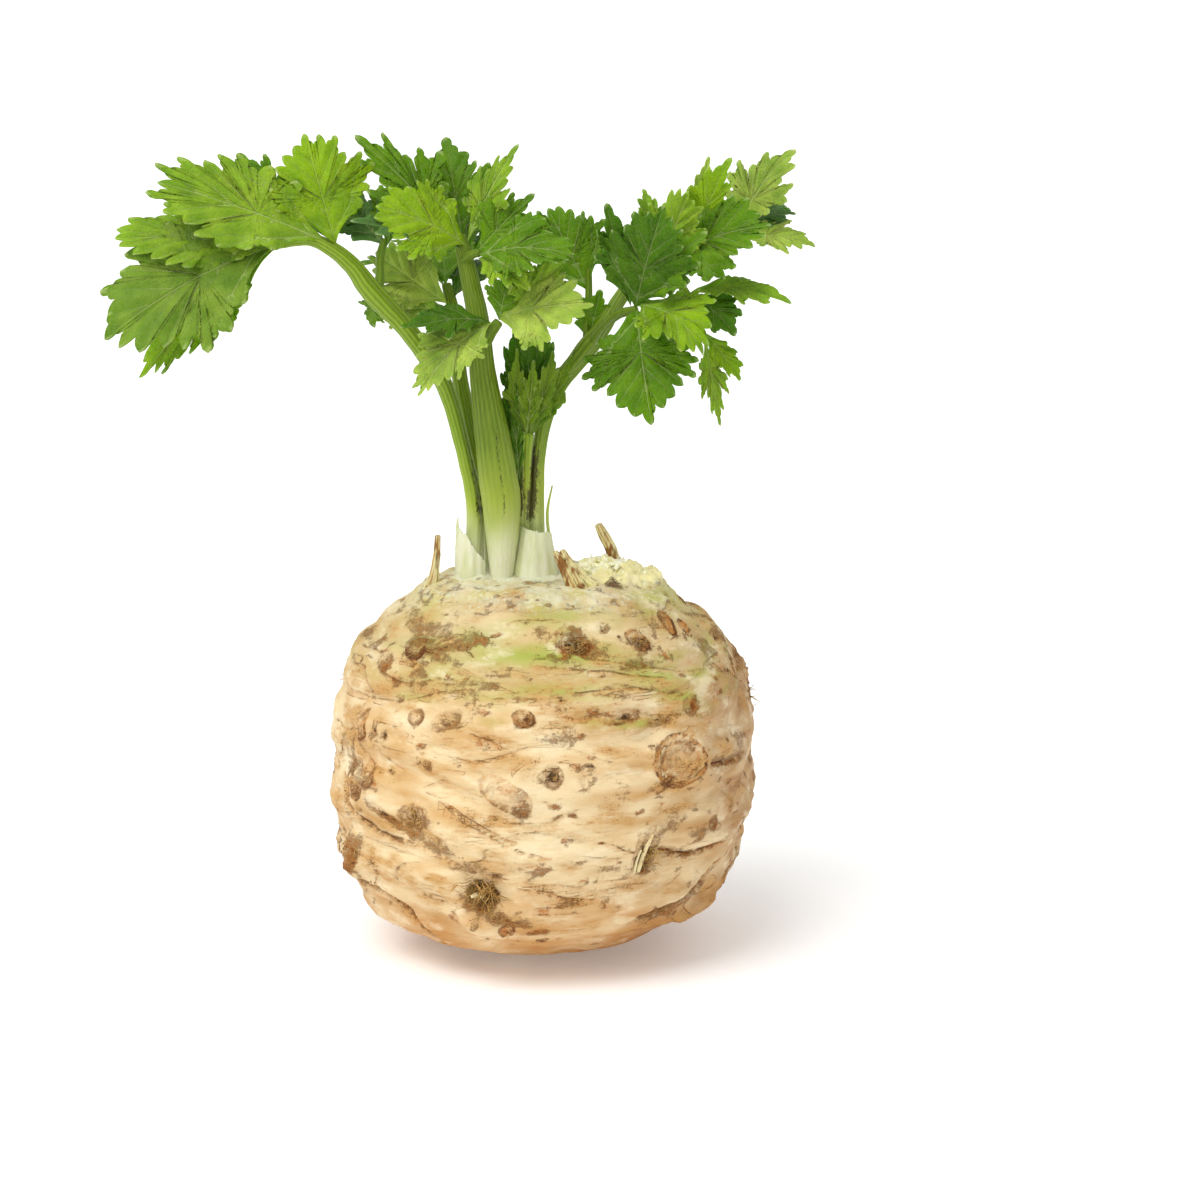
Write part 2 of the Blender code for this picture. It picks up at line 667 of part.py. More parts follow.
def make_sheath(name, sheath):
    """An upright curved wall on the crown, with a foot that stands flat."""
    points, faces = [], []
    for azimuth, height in sheath.edge:
        turn = math.radians(azimuth)
        for step, reach in ((0, sheath.radius), (height, sheath.radius - sheath.lean * height)):
            for wall in (0, sheath.wall):
                x = sheath.x + (reach - wall) * math.sin(turn)
                y = sheath.y - (reach - wall) * math.cos(turn)
                points.append((x, y, STEM_FOOT_Z + step))
    foot_out, foot_in, top_out, top_in = range(4)
    for k in range(0, len(points) - 4, 4):
        for low, high in (
            (foot_out, top_out),
            (top_out, top_in),
            (top_in, foot_in),
            (foot_in, foot_out),
        ):
            faces.append((k + low, k + 4 + low, k + 4 + high, k + high))
    end = len(points) - 4
    faces.append((foot_out, top_out, top_in, foot_in))
    faces.append((end + foot_out, end + foot_in, end + top_in, end + top_out))
    solids = [mesh_object(name, points, faces)]
    solids += [make_tube("sliver", knots, TWIG_SIDES) for knots in sheath.slivers]
    return fused(solids)


def make_stem(name, stem):
    """A leafy stem as one body: stalk, twigs and leaflets."""
    solids = [make_tube(name, stem.stalk, STEM_SIDES, level_foot=True)]
    solids += [make_tube("twig", knots, TWIG_SIDES) for knots in stem.twigs]
    solids += [make_leaflet("leaflet", leaflet) for leaflet in stem.leaflets]
    return fused(solids)


def make_root():
    """The bulb with the withered stubs on its crown."""
    solids = [make_root_body()]
    solids += [make_tube("stub", knots, TWIG_SIDES) for knots in CROWN_STUBS]
    return fused(solids)


def material(name):
    colour, roughness = COLOURS[name]
    made = bpy.data.materials.new(name)
    made.use_nodes = True
    shader = made.node_tree.nodes["Principled BSDF"]
    shader.inputs["Base Color"].default_value = colour
    shader.inputs["Roughness"].default_value = roughness
    shader.inputs["Metallic"].default_value = 0.0
    return made


def main():
    for thing in list(bpy.data.objects):
        bpy.data.objects.remove(thing)
    materials = {name: material(name) for name in COLOURS}
    root = make_root()
    root.data.materials.append(materials["root_skin"])
    for name, stem in STEMS.items():
        made = make_stem(name, stem)
        made.data.materials.append(materials["leaf"])
    for name, sheath in SHEATHS.items():
        made = make_sheath(name, sheath)
        made.data.materials.append(materials["sheath"])


main()
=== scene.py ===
"""Dresses the celeriac root: fine skin, ribbed stalks, veined leaflets, floor, light and camera.

Lengths are in millimetres until a mesh is made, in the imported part's frame: +Z is up and the
root's front faces -Y. An azimuth turns from the front towards +X. Colours are named in sRGB
and turned linear once.
"""

import functools
import itertools
import math
from typing import NamedTuple

import bpy
import numpy as np
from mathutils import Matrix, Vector


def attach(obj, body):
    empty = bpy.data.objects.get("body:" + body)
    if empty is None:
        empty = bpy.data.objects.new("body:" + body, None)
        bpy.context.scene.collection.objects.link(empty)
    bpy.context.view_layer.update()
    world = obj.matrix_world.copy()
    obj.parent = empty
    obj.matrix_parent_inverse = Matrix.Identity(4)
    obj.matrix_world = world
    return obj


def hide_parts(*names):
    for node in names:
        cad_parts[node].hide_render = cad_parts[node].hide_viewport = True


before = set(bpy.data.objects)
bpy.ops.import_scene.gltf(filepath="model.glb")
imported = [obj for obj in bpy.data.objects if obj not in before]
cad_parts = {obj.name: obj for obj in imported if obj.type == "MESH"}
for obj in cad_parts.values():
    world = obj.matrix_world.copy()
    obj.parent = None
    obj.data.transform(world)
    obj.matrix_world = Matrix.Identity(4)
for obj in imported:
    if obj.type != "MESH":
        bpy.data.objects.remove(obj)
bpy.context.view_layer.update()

MM = 0.001

SPOT_RADIUS = 10.0
CROWN_RADIUS, CROWN_Z = 25.0, 113.0
# The root's side as (radius, z), from the flat spot under it up to the crown.
ROOT_SIDE = (
    (SPOT_RADIUS, 0), (18, 1.7), (28, 4.4), (37, 7.0), (45.5, 10.4), (51.5, 14.6), (56.5, 21.5),
    (61, 32), (63.8, 45), (64.5, 58), (64, 70), (61.3, 82), (55.6, 93), (47.4, 102), (37.4, 108.5),
    (29.5, 112), (CROWN_RADIUS, CROWN_Z),
)
# How far the crown and the belly stand off from right above the flat spot.
CROWN_SHIFT_X = 1.5
BELLY_SHIFT_X = 3.4
PROFILE_STEPS = 12

# The root isn't quite round: (how many times round, share of the radius, start, twist).
ROOT_LOBES = ((2, 0.026, 0.5, 1), (3, 0.018, -1.3, 2), (5, 0.014, 2.1, -3))
LOBE_TWIST, LOBE_TWIST_RISE = 0.4, 31.0

# Old leaf rows left rings round it: their spacing, their relief, and how they wave.
BAND_SPACING = 21.0
BAND_RELIEF, FINE_BAND_RELIEF, FINE_BANDS = 0.8, 0.35, 2.3
BAND_WAVES = ((2, 4.2, 0.4), (5, 2.4, 1.9))

# A mark's relief falls off from its middle as a bell curve, and its radius is near the edge.
MARK_FALL = 1.6

STEM_GAP = 0.3
STEM_FOOT_Z = CROWN_Z + STEM_GAP


class Mark(NamedTuple):
    """A swelling (relief above 0) or a pit (below 0) on the root's skin."""

    azimuth: float
    z: float
    radius: float
    relief: float


class Leaflet(NamedTuple):
    """A toothed blade from its base to its tip. Its upper side looks towards face."""

    base: tuple
    tip: tuple
    width: float
    face: tuple = (0.0, -1.0, 0.3)
    kind: str = "small"
    arch: float = 2.0
    fold: float = 0.12


class Outline(NamedTuple):
    """One half of a blade's edge, from base to tip, in shares of its width and its length.

    The blade is a fan round the middle, a point on its midrib.
    """

    middle: float
    half: tuple


OUTLINES = {
    "broad": Outline(
        0.42,
        (
            (0.0, 0.0), (0.085, 0.11), (0.23, 0.235), (0.39, 0.30), (0.385, 0.365), (0.50, 0.43),
            (0.465, 0.49), (0.545, 0.59), (0.455, 0.605), (0.455, 0.70), (0.345, 0.665),
            (0.225, 0.59), (0.345, 0.76), (0.275, 0.785), (0.285, 0.885), (0.185, 0.88),
            (0.145, 0.965), (0.065, 0.945), (0.0, 1.0),
        ),
    ),
    "cut": Outline(
        0.38,
        (
            (0.0, 0.0), (0.07, 0.17), (0.17, 0.27), (0.35, 0.35), (0.31, 0.42), (0.51, 0.52),
            (0.41, 0.55), (0.44, 0.67), (0.30, 0.61), (0.13, 0.51), (0.25, 0.68), (0.18, 0.71),
            (0.21, 0.84), (0.11, 0.84), (0.0, 1.0),
        ),
    ),
    "small": Outline(
        0.42,
        (
            (0.0, 0.0), (0.16, 0.20), (0.41, 0.34), (0.37, 0.42), (0.52, 0.58), (0.30, 0.61),
            (0.35, 0.80), (0.20, 0.81), (0.0, 1.0),
        ),
    ),
}


class Stem(NamedTuple):
    """A leafy stem: its stalk and twigs as (x, y, z, radius) along each, and its leaflets."""

    stalk: tuple
    twigs: tuple
    leaflets: tuple


MARKS = (
    Mark(43, 67, 9.0, 2.2), Mark(17, 102, 5.5, -2.4), Mark(42, 101, 4.5, -1.6),
    Mark(-43, 98, 4.5, 1.2), Mark(-56, 75, 6.0, 2.2), Mark(-30, 100, 8.0, 1.4),
    Mark(29, 82, 7.0, -1.8), Mark(-9, 63, 9.0, 1.6), Mark(-52, 58, 9.0, 2.4),
    Mark(-38, 52, 8.0, -1.8), Mark(-65, 33, 8.0, 3.6), Mark(-15, 30, 7.5, -3.6),
    Mark(-17, 20, 7.0, 3.0), Mark(34, 41, 7.5, -3.0), Mark(60, 22, 10.0, -2.6),
    Mark(50, 48, 12.0, 1.8), Mark(92, 110, 9.0, 5.0), Mark(112, 84, 9.0, 2.6),
    Mark(128, 52, 11.0, -2.2), Mark(150, 96, 7.0, -2.0), Mark(158, 66, 10.0, 2.8),
    Mark(176, 34, 9.0, 3.0), Mark(-162, 80, 8.0, -2.2), Mark(-140, 48, 11.0, 2.6),
    Mark(-128, 90, 9.0, 2.4), Mark(-104, 62, 8.0, -2.4), Mark(-98, 30, 9.0, 2.8),
    Mark(-150, 24, 8.0, -2.4), Mark(138, 24, 8.0, 2.4),
)

STEMS = {
    "leafy_stem_left": Stem(
        stalk=(
            (-18.2, -0.2, STEM_FOOT_Z, 3.2), (-17.6, 1.4, 122, 3.0), (-17.2, 2.2, 130, 2.8),
            (-18.2, 2.2, 139, 2.5), (-20.1, 1, 148, 2.3), (-23.4, 0, 162, 2.4),
            (-26.4, -1, 171, 2.6), (-30.2, -3, 178, 2.8), (-38, -5, 189, 2.9), (-47, -6, 199, 3.3),
            (-53, -7, 207, 2.6), (-59, -8, 212, 2.2), (-65, -9, 214.5, 1.8),
            (-73, -10, 213.5, 1.4), (-79.5, -11, 211.5, 1.1),
        ),
        twigs=(((-46, -6, 197, 2.0), (-45, -1, 202, 1.6), (-45, 3, 208, 1.4), (-44, 6, 213, 1.1)),),
        leaflets=(
            Leaflet((-57.4, -8, 212.5), (-66.3, -4, 243.9), 28, (0.15, -1, 0.1), "broad"),
            Leaflet((-59, -9, 213.4), (-109.7, -16, 231.7), 27, (0.1, -0.8, 0.5), "broad", 3.0, 0.15),
            Leaflet((-67.8, -9, 214.3), (-85.5, -2, 238.2), 15, (0.3, -1, 0.1)),
            Leaflet((-75.2, -11, 212.8), (-123.1, -22, 187.1), 41, (-0.3, -0.8, 0.35), "broad", 6.0, 0.1),
            Leaflet((-70.1, -9, 213.7), (-122, -14, 214.8), 22, (-0.1, -0.8, 0.5), "broad", 3.0),
            Leaflet((-74.1, -10.5, 212.7), (-114.5, -7, 175.6), 21, (-0.4, -0.8, 0.3), "broad", 4.0),
            Leaflet((-43.5, 5, 210.9), (-56.7, 15, 225.1), 15, (-0.2, -0.9, 0.3)),
            Leaflet((-43.5, 5, 210.9), (-39.3, 18, 229.1), 17, (0.2, -0.9, 0.4)),
            Leaflet((-44.7, -3, 198.4), (-47.7, 6, 187.6), 9, (-0.6, -0.7, 0.2), "small", 1.0),
            Leaflet((-58.1, -6, 212.3), (-65.8, 24, 223.2), 24, (-0.2, 0.3, 1), "broad", 3.0),
        ),
    ),
    "leafy_stem_centre": Stem(
        stalk=(
            (-9.6, -2, STEM_FOOT_Z, 3.3), (-9.5, -2.2, 120, 4.1), (-9.4, -2.5, 127, 4.9),
            (-9.6, -3, 136, 5.6), (-10.6, -3.2, 144, 5.6), (-11.8, -3.5, 153, 5.2),
            (-13.4, -4, 164, 4.5), (-14.8, -4, 174, 3.8), (-15.5, -4, 183, 3.4),
            (-16.4, -4, 192, 3.0), (-18.2, -3.5, 201, 2.6), (-20, -3, 209, 2.2),
            (-21.5, -2.5, 215, 1.6),
        ),
        twigs=(
            ((-15, -5, 183, 2.2), (-12.5, -8.5, 187, 1.9), (-10, -11, 190.5, 1.5)),
            ((-20, -4, 208, 1.8), (-17.5, -6.5, 210, 1.4), (-15.5, -8, 210.5, 1.2)),
        ),
        leaflets=(
            Leaflet((-20.1, -4, 213), (-51.2, 2, 243.2), 24, (0.2, -0.95, 0.35), "cut", 2.5, 0.15),
            Leaflet((-20.5, -2, 213.6), (-25.7, 9, 242.1), 28, (0, -0.95, 0.25), "cut", 2.5, 0.15),
            Leaflet((-19.5, -4, 212.7), (-4.4, -6, 241.4), 15, (-0.3, -0.9, 0.3), "cut", 2.5, 0.15),
            Leaflet((-19.5, -3.6, 212), (-46.2, -16, 224.8), 24, (0.1, -0.85, 0.5), "broad", 4.0, 0.1),
            Leaflet((-19.5, -3.8, 211.2), (-51.9, -19, 220.5), 13, (-0.1, -0.6, 0.8)),
            Leaflet((-17.1, -7, 209.7), (-0.3, -9, 227.1), 20, (-0.1, -0.95, 0.3), "cut", 1.5),
            Leaflet((-15.9, -8, 209.5), (12.3, -20, 211.3), 19, (-0.1, -0.75, 0.6), "broad", 4.0, 0.15),
            Leaflet((-15.9, -8, 209.2), (-0.5, -20, 200.9), 13, (0.1, -0.8, 0.5), "small", 3.0),
            Leaflet((-9.8, -10, 191), (16.3, -22, 196.7), 27, (0.05, -0.8, 0.6), "broad", 3.0, 0.1),
            Leaflet((-9.8, -10, 191), (10.2, -13, 208.3), 17, (-0.2, -0.95, 0.2), "cut"),
            Leaflet((-9.8, -10, 191), (-5.9, -9, 205), 12, (-0.1, -0.9, 0.3)),
            Leaflet((-11.2, -10, 190.4), (-32.5, -22, 171.7), 20, (-0.5, -0.7, 0.4), "broad", 3.5, 0.15),
            Leaflet((-11.8, -10, 190.4), (-37.2, -19, 188.5), 14, (-0.1, -0.6, 0.8), "small", 3.0),
            Leaflet((-19.3, -2, 211.6), (-21.7, 26, 221.2), 25, (0, 0.35, 1), "broad", 3.5),
            Leaflet((-18.7, -2, 208.7), (3.1, 15, 214.7), 21, (0.3, 0.2, 1), "broad", 3.0),
        ),
    ),
    "leafy_stem_young": Stem(
        stalk=(
            (-3.3, 3.4, STEM_FOOT_Z, 1.6), (-3.1, 3.0, 124, 1.6), (-2.8, 2.0, 138, 1.7),
            (-2.7, 0.5, 148, 1.8), (-2.2, -1.0, 156, 1.9),
        ),
        twigs=(),
        leaflets=(
            Leaflet((-2.6, -1, 154), (-5.0, -4, 180), 7, (-0.5, -0.9, 0), "small", 1.2, 0.3),
            Leaflet((-2.2, -1, 154), (0.2, -7, 178), 7, (0.1, -1, 0), "small", 1.2, 0.35),
            Leaflet((-1.8, -1, 154), (6.0, -4, 182), 8, (0.5, -0.9, 0), "small", 1.5, 0.35),
            Leaflet((-1.6, -0.6, 154), (11.5, 0.5, 180), 7, (0.5, -0.9, 0), "small", 1.5, 0.3),
            Leaflet((-2.2, -0.5, 153), (2.0, 1.0, 191), 14, (0.1, -0.9, -0.2)),
            Leaflet((-2.4, -0.5, 153), (-5.5, 3.5, 188), 10, (-0.3, -0.9, -0.2)),
        ),
    ),
    "leafy_stem_right": Stem(
        stalk=(
            (1.1, 3.6, STEM_FOOT_Z, 2.1), (1.0, 3.4, 129, 2.0), (1.1, 3.6, 141, 1.8),
            (1.9, 4, 151, 1.8), (3.9, 4.6, 161, 2.0), (7.8, 5, 170, 2.3), (12.4, 6, 176, 2.6),
            (16.5, 7, 181, 2.9), (21, 8, 187, 2.2), (26, 12, 195, 1.9), (32, 16, 202, 1.8),
            (40, 20, 208, 1.7), (50, 22, 212, 1.5), (61, 25, 216, 1.2),
        ),
        twigs=(
            ((16, 7, 179, 1.8), (16, 10, 186, 1.3), (16.5, 13, 195, 1.2), (16.5, 15, 203, 1.0)),
            ((17, 7, 181, 2.0), (20.5, 3, 187, 1.6), (25, -2, 191.5, 1.5), (30.4, -5.7, 193.6, 1.3)),
            ((37, 18, 205, 1.5), (43.5, 15, 199, 1.3), (48, 13, 192, 1.1), (50.5, 12, 184, 0.9)),
        ),
        leaflets=(
            Leaflet((16.5, 14, 196.6), (4.2, 20, 221.1), 22, (0.1, -0.95, 0.1), "broad", 1.5),
            Leaflet((16.2, 14, 198.7), (14.7, 21, 219.9), 12, (-0.1, -0.95, 0.1), "cut", 1.5),
            Leaflet((30.1, -5.5, 194), (38.1, -13, 224), 27, (-0.1, -0.95, 0.3), "broad", 2.5, 0.15),
            Leaflet((28.9, -5, 194.5), (21.8, -9, 223.6), 14, (0.2, -0.95, 0.2), "small", 1.5),
            Leaflet((30.1, -5.5, 194.6), (48.9, -12, 215.8), 17, (-0.4, -0.9, 0.3)),
            Leaflet((30.4, -5.5, 194), (34.4, -15, 163.3), 31, (-0.1, -0.95, 0.35), "broad", 3.0),
            Leaflet((30.4, -6, 194.6), (50, -20, 184.6), 28, (0.4, -0.7, 0.75), "broad", 4.0),
            Leaflet((16.2, 10, 180.9), (20.1, 13, 196.4), 13, (-0.2, -0.9, 0.2), "small", 1.5),
            Leaflet((41.4, 19, 205.1), (69.1, 4, 217.8), 27, (-0.2, -0.85, 0.6), "broad", 4.0),
            Leaflet((48, 20, 209.5), (58.7, 15, 236.4), 14, (-0.3, -0.9, 0.3), "small", 3.0),
            Leaflet((37.8, 17, 203.5), (46.4, 8, 227.5), 20, (-0.1, -0.9, 0.3), "broad"),
            Leaflet((36.3, 17, 202.3), (32.7, 20, 228.3), 14, (0.4, -0.9, 0.3), "cut"),
            Leaflet((46.8, 21, 210.3), (52.3, 27, 234.9), 8, (0, -0.9, 0.3)),
            Leaflet((59.8, 24, 211.8), (76.8, 31, 237.7), 24, (-0.5, -0.8, 0.4), "cut", 2.5),
            Leaflet((60.4, 24, 211.8), (77.1, 40, 220), 18, (0.2, -0.3, 1), "small", 2.5),
            Leaflet((60.4, 24, 211.8), (84.8, 23, 209.5), 16, (0, -0.6, 0.8), "cut", 2.5),
            Leaflet((45.5, 14.5, 196.5), (75.8, 9, 194.2), 15, (0, -0.4, 0.9), "small", 3.0),
            Leaflet((46.7, 13.5, 195.5), (60.2, 5, 183.9), 18, (0.3, -0.8, 0.4), "small", 3.0),
            Leaflet((50.6, 12, 184.5), (55.8, 10, 157.3), 9, (0.1, -0.95, 0), "cut", 1.5),
            Leaflet((50.6, 12, 185.1), (61.8, 13, 170.2), 8, (0.3, -0.9, 0.2), "small", 1.5),
            Leaflet((50.1, 21.5, 208.7), (61.4, 52, 212.3), 25, (0.1, 0.1, 1), "broad", 4.0),
            Leaflet((34.8, 16.5, 201.1), (31.1, 45, 209.2), 24, (-0.2, 0.2, 1), "broad", 4.0),
        ),
    ),
    "leafy_stem_back": Stem(
        stalk=(
            (-13.5, 10.0, STEM_FOOT_Z, 3.2), (-14, 10.5, 125, 3.0), (-15.5, 11, 136, 2.8),
            (-18.6, 12, 152, 2.5), (-22, 13.5, 169, 2.3), (-23.6, 16, 181, 2.1),
            (-24.5, 19, 191, 1.8), (-26.5, 23, 198, 1.3),
        ),
        twigs=(),
        leaflets=(
            Leaflet((-25.9, 18.5, 192.5), (-48.3, 25, 208.1), 19, (-0.2, -0.9, 0.1), "broad", 3.0),
            Leaflet((-25.6, 18, 190.7), (-46.8, 26, 187.4), 17, (-0.2, -0.8, 0.6), "small", 3.0),
            Leaflet((-26.6, 22, 198.7), (-31.1, 52, 208.6), 27, (0, 0.1, 1), "broad", 4.0),
            Leaflet((-25.6, 19.5, 193), (-5.6, 40, 203), 23, (0.2, 0.2, 1), "broad", 4.0),
            Leaflet((-26.9, 22, 198.7), (-53.2, 44, 200.7), 23, (-0.3, 0.3, 1), "broad", 4.0),
        ),
    ),
}


class Sheath(NamedTuple):
    """The pale foot of a stem that was cut off: a curved wall round (x, y) that leans in.

    Its edge is a row of (azimuth, height), and slivers are thin shoots left standing on it.
    """

    x: float
    y: float
    radius: float
    wall: float
    lean: float
    edge: tuple
    slivers: tuple = ()


SHEATHS = {
    "cut_sheath_left": Sheath(
        x=-18.4,
        y=-0.8,
        radius=5.2,
        wall=1.0,
        lean=0.03,
        edge=(
            (-105, 13.5), (-88, 15.6), (-74, 18.0), (-58, 15.0), (-36, 14.0), (-16, 13.2),
            (0, 10.6), (18, 8.2), (36, 6.4), (54, 4.8),
        ),
    ),
    "cut_sheath_right": Sheath(
        x=0.4,
        y=1.2,
        radius=7.4,
        wall=1.2,
        lean=0.19,
        edge=(
            (-84, 14.6), (-60, 14.8), (-36, 14.7), (-12, 14.3), (12, 13.9), (36, 13.6), (60, 13.4),
            (84, 12.8),
        ),
        slivers=(((4.9, 0.5, 122, 0.75), (4.2, 0.8, 132, 0.6), (5.6, 1.0, 140, 0.35)),),
    ),
}


class Scar(NamedTuple):
    """A mark on the skin: its half widths round the root and up it, turned by tilt degrees.

    It sinks (or stands proud, below 0) in its middle, and its rim stands proud. Ring, brown,
    rust and dark are shares from 0 to 1 of how strongly each is drawn.
    """

    azimuth: float
    z: float
    across: float
    up: float
    tilt: float = 0.0
    sink: float = 0.0
    rim: float = 0.0
    ring: float = 0.0
    brown: float = 0.0
    rust: float = 0.0
    dark: float = 0.0


class Crease(NamedTuple):
    """A narrow furrow along (azimuth, z) points, with a dark or a rusty bottom and painted shade along
    it.
    """

    path: tuple
    depth: float = 0.6
    strength: float = 0.8
    rust: float = 0.0


FRONT_SCARS = (
    Scar(36, 68.5, 8.2, 7.6, 0, -0.5, 0.9, 1.0, 0.0, 0.1),
    Scar(37, 69, 5.2, 5.4, 20, 0.3, 0.2, 0.35, 0.12, 0.2),
    Scar(32, 63, 3.2, 1.3, -20, 0.3, 0.0, 0.0, 0.7, 0.2, 0.6),
    Scar(12, 102.5, 5.2, 4.6, 0, 1.3, 0.5, 0.5, 1.0, 0.4, 0.9),
    Scar(7, 100, 2.6, 3.6, 0, 0.3, 0.2, 0.0, 0.8, 1.0, 0.2),
    Scar(36, 101.5, 3.8, 3.6, 0, 1.4, 0.5, 0.9, 0.7, 0.0, 0.9),
    Scar(55, 103.5, 2.6, 3.4, 0, 0.5, 0.7, 1.0, 0.3, 0.0, 0.5),
    Scar(64, 101, 2.2, 3.0, 0, 0.4, 0.6, 1.0, 0.3, 0.0, 0.5),
    Scar(24, 105, 1.8, 1.5, 0, 0.6, 0.0, 0.0, 0.7, 0.1, 0.8),
    Scar(44, 97, 2.0, 2.4, 0, 0.3, 0.0, 0.0, 0.6, 0.9, 0.1),
    Scar(-43, 98, 3.8, 4.0, 0, 0.2, 0.8, 1.0, 0.5, 0.1, 0.4),
    Scar(-56, 93, 4.2, 3.4, 0, -0.8, 0.2, 0.2, 1.0, 0.3, 0.4),
    Scar(-30, 101, 10.0, 3.8, 24, -0.6, 0.0, 0.0, 0.9, 0.4, 0.3),
    Scar(-14, 95, 4.0, 2.2, 0, 0.3, 0.0, 0.0, 0.8, 0.2, 0.6),
    Scar(-21, 92, 9.0, 2.0, 0, 0.4, 0.0, 0.0, 0.6, 0.0, 0.4),
    Scar(-58, 75, 4.0, 4.4, 0, -1.3, 0.2, 0.8, 0.35, 0.2, 0.1),
    Scar(-52, 75, 1.3, 3.8, 0, 0.9, 0.0, 0.0, 0.8, 0.0, 0.9),
    Scar(-48, 74, 1.7, 1.6, 0, 0.7, 0.0, 0.0, 0.6, 0.0, 0.9),
    Scar(-36, 81, 2.4, 2.7, 0, 1.0, 0.2, 0.5, 0.7, 0.2, 0.5),
    Scar(-27, 81, 5.4, 2.4, 24, 0.8, 0.2, 0.2, 0.8, 0.1, 0.6),
    Scar(-31, 68, 1.8, 1.6, 0, 0.5, 0.2, 0.3, 0.8, 0.5, 0.4),
    Scar(-5, 83, 3.0, 2.6, 0, 1.3, 0.3, 0.7, 0.7, 0.0, 0.7),
    Scar(2, 79, 5.5, 3.2, -10, 0.2, 0.0, 0.0, 0.6, 0.4, 0.1),
    Scar(21, 82.5, 6.0, 1.8, 12, 1.5, 0.2, 0.6, 0.7, 0.0, 0.9),
    Scar(26, 80, 5.0, 1.5, 20, -1.6, 0.0, 0.2, 0.1),
    Scar(32, 81, 3.6, 1.7, 0, 0.9, 0.1, 0.3, 0.7, 0.1, 0.5),
    Scar(43, 83, 2.9, 2.6, 0, 1.1, 0.3, 0.4, 0.8, 0.9, 0.6),
    Scar(13, 85, 1.7, 1.5, 0, 0.5, 0.2, 0.0, 0.8, 1.0, 0.2),
    Scar(5, 88, 1.4, 1.4, 0, 0.4, 0.1, 0.2, 0.5, 0.2, 0.7),
    Scar(2, 67, 2.7, 3.0, 0, 1.5, 0.4, 0.3, 0.7, 0.0, 1.0),
    Scar(10, 65, 5.0, 2.6, 30, 0.2, 0.0, 0.0, 0.5, 0.3, 0.1),
    Scar(-10, 62, 8.0, 4.0, -32, -0.9, 0.2, 0.5, 0.1, 0.5),
    Scar(-6, 58, 2.6, 2.6, 0, 0.8, 0.2, 0.3, 0.9, 0.6, 0.4),
    Scar(-61, 58, 5.6, 6.4, 0, 0.5, 0.5, 0.7, 0.6, 0.4, 0.4),
    Scar(-54, 61, 3.0, 4.4, 0, 0.6, 0.3, 0.6, 0.7, 0.3, 0.3),
    Scar(-66, 64, 4.0, 6.0, 0, 0.3, 0.0, 0.0, 0.8, 0.5, 0.2),
    Scar(-37, 51, 6.4, 3.4, 10, 1.2, 0.3, 0.4, 0.8, 0.2, 0.7),
    Scar(-48, 51, 8.0, 2.0, -24, 1.0, 0.1, 0.1, 0.8, 0.2, 0.7),
    Scar(-40, 48, 9.0, 2.4, -14, 0.4, 0.0, 0.0, 0.7, 0.2, 0.3),
    Scar(-66, 36, 5.0, 6.5, 0, -1.2, 0.0, 0.0, 1.0, 0.6, 0.3),
    Scar(-17, 29, 5.4, 4.0, -12, 2.4, 0.7, 0.2, 0.8, 0.3, 0.7),
    Scar(-12, 25, 6.4, 2.4, -32, 0.6, 0.2, 0.0, 0.6, 0.4, 0.5),
    Scar(-7, 24, 5.0, 2.4, -30, 0.3, 0.0, 0.0, 0.9, 0.2, 0.5),
    Scar(-18, 21, 6.0, 3.6, 0, -1.0, 0.0, 0.0, 0.0, 0.1),
    Scar(-9, 19.5, 1.9, 3.0, -10, 0.3, 0.3, 0.9, 0.6, 1.0, 0.2),
    Scar(-25, 22, 1.6, 1.7, 0, 0.3, 0.2, 0.5, 0.4, 1.0, 0.1),
    Scar(-29, 27, 1.1, 1.2, 0, 0.3, 0.1, 0.0, 0.6, 0.9, 0.2),
    Scar(-1, 19, 4.0, 2.0, 10, 0.3, 0.1, 0.1, 0.7, 0.9, 0.3),
    Scar(28, 41, 4.6, 6.6, 20, 1.6, 0.5, 0.3, 0.9, 0.2, 1.0),
    Scar(31, 50, 7.0, 4.0, 10, 0.2, 0.0, 0.0, 0.6, 0.0, 0.4),
    Scar(49, 48, 2.2, 2.2, 0, 0.9, 0.2, 0.2, 0.8, 0.7, 0.6),
    Scar(44, 46, 4.0, 1.6, 0, 0.2, 0.0, 0.0, 0.6, 0.1, 0.3),
    Scar(30, 61, 1.5, 1.5, 0, 0.2, 0.2, 0.5, 0.6, 0.4),
    Scar(-2, 40, 4.2, 2.6, 0, 0.3, 0.1, 0.2, 0.6, 0.7, 0.2),
    Scar(9, 42, 2.4, 1.2, 0, 0.2, 0.0, 0.0, 0.5, 0.0, 0.5),
    Scar(-31, 46, 9.0, 3.0, -20, 0.2, 0.0, 0.0, 0.6, 0.2, 0.2),
    Scar(42, 22, 12.0, 3.0, 14, 0.8, 0.2, 0.0, 0.8, 0.4, 0.4),
    Scar(-23, 40, 8.0, 3.0, -10, 0.0, 0.0, 0.0, 0.5, 0.1),
    Scar(18, 63, 3.0, 6.0, 40, 0.1, 0.0, 0.0, 0.3, 0.1),
    Scar(-25, 57, 2.6, 1.0, -20, 0.3, 0.1, 0.0, 0.3, 1.0),
    Scar(31, 56, 1.4, 0.8, 10, 0.2, 0.0, 0.0, 0.2, 1.0),
    Scar(0, 26, 3.0, 1.4, -10, 0.1, 0.0, 0.0, 0.1, 1.0),
    Scar(62, 17.5, 17.0, 5.5, 8, -3.6),
    Scar(-70, 15, 14.0, 6.0, 0, -2.6),
)

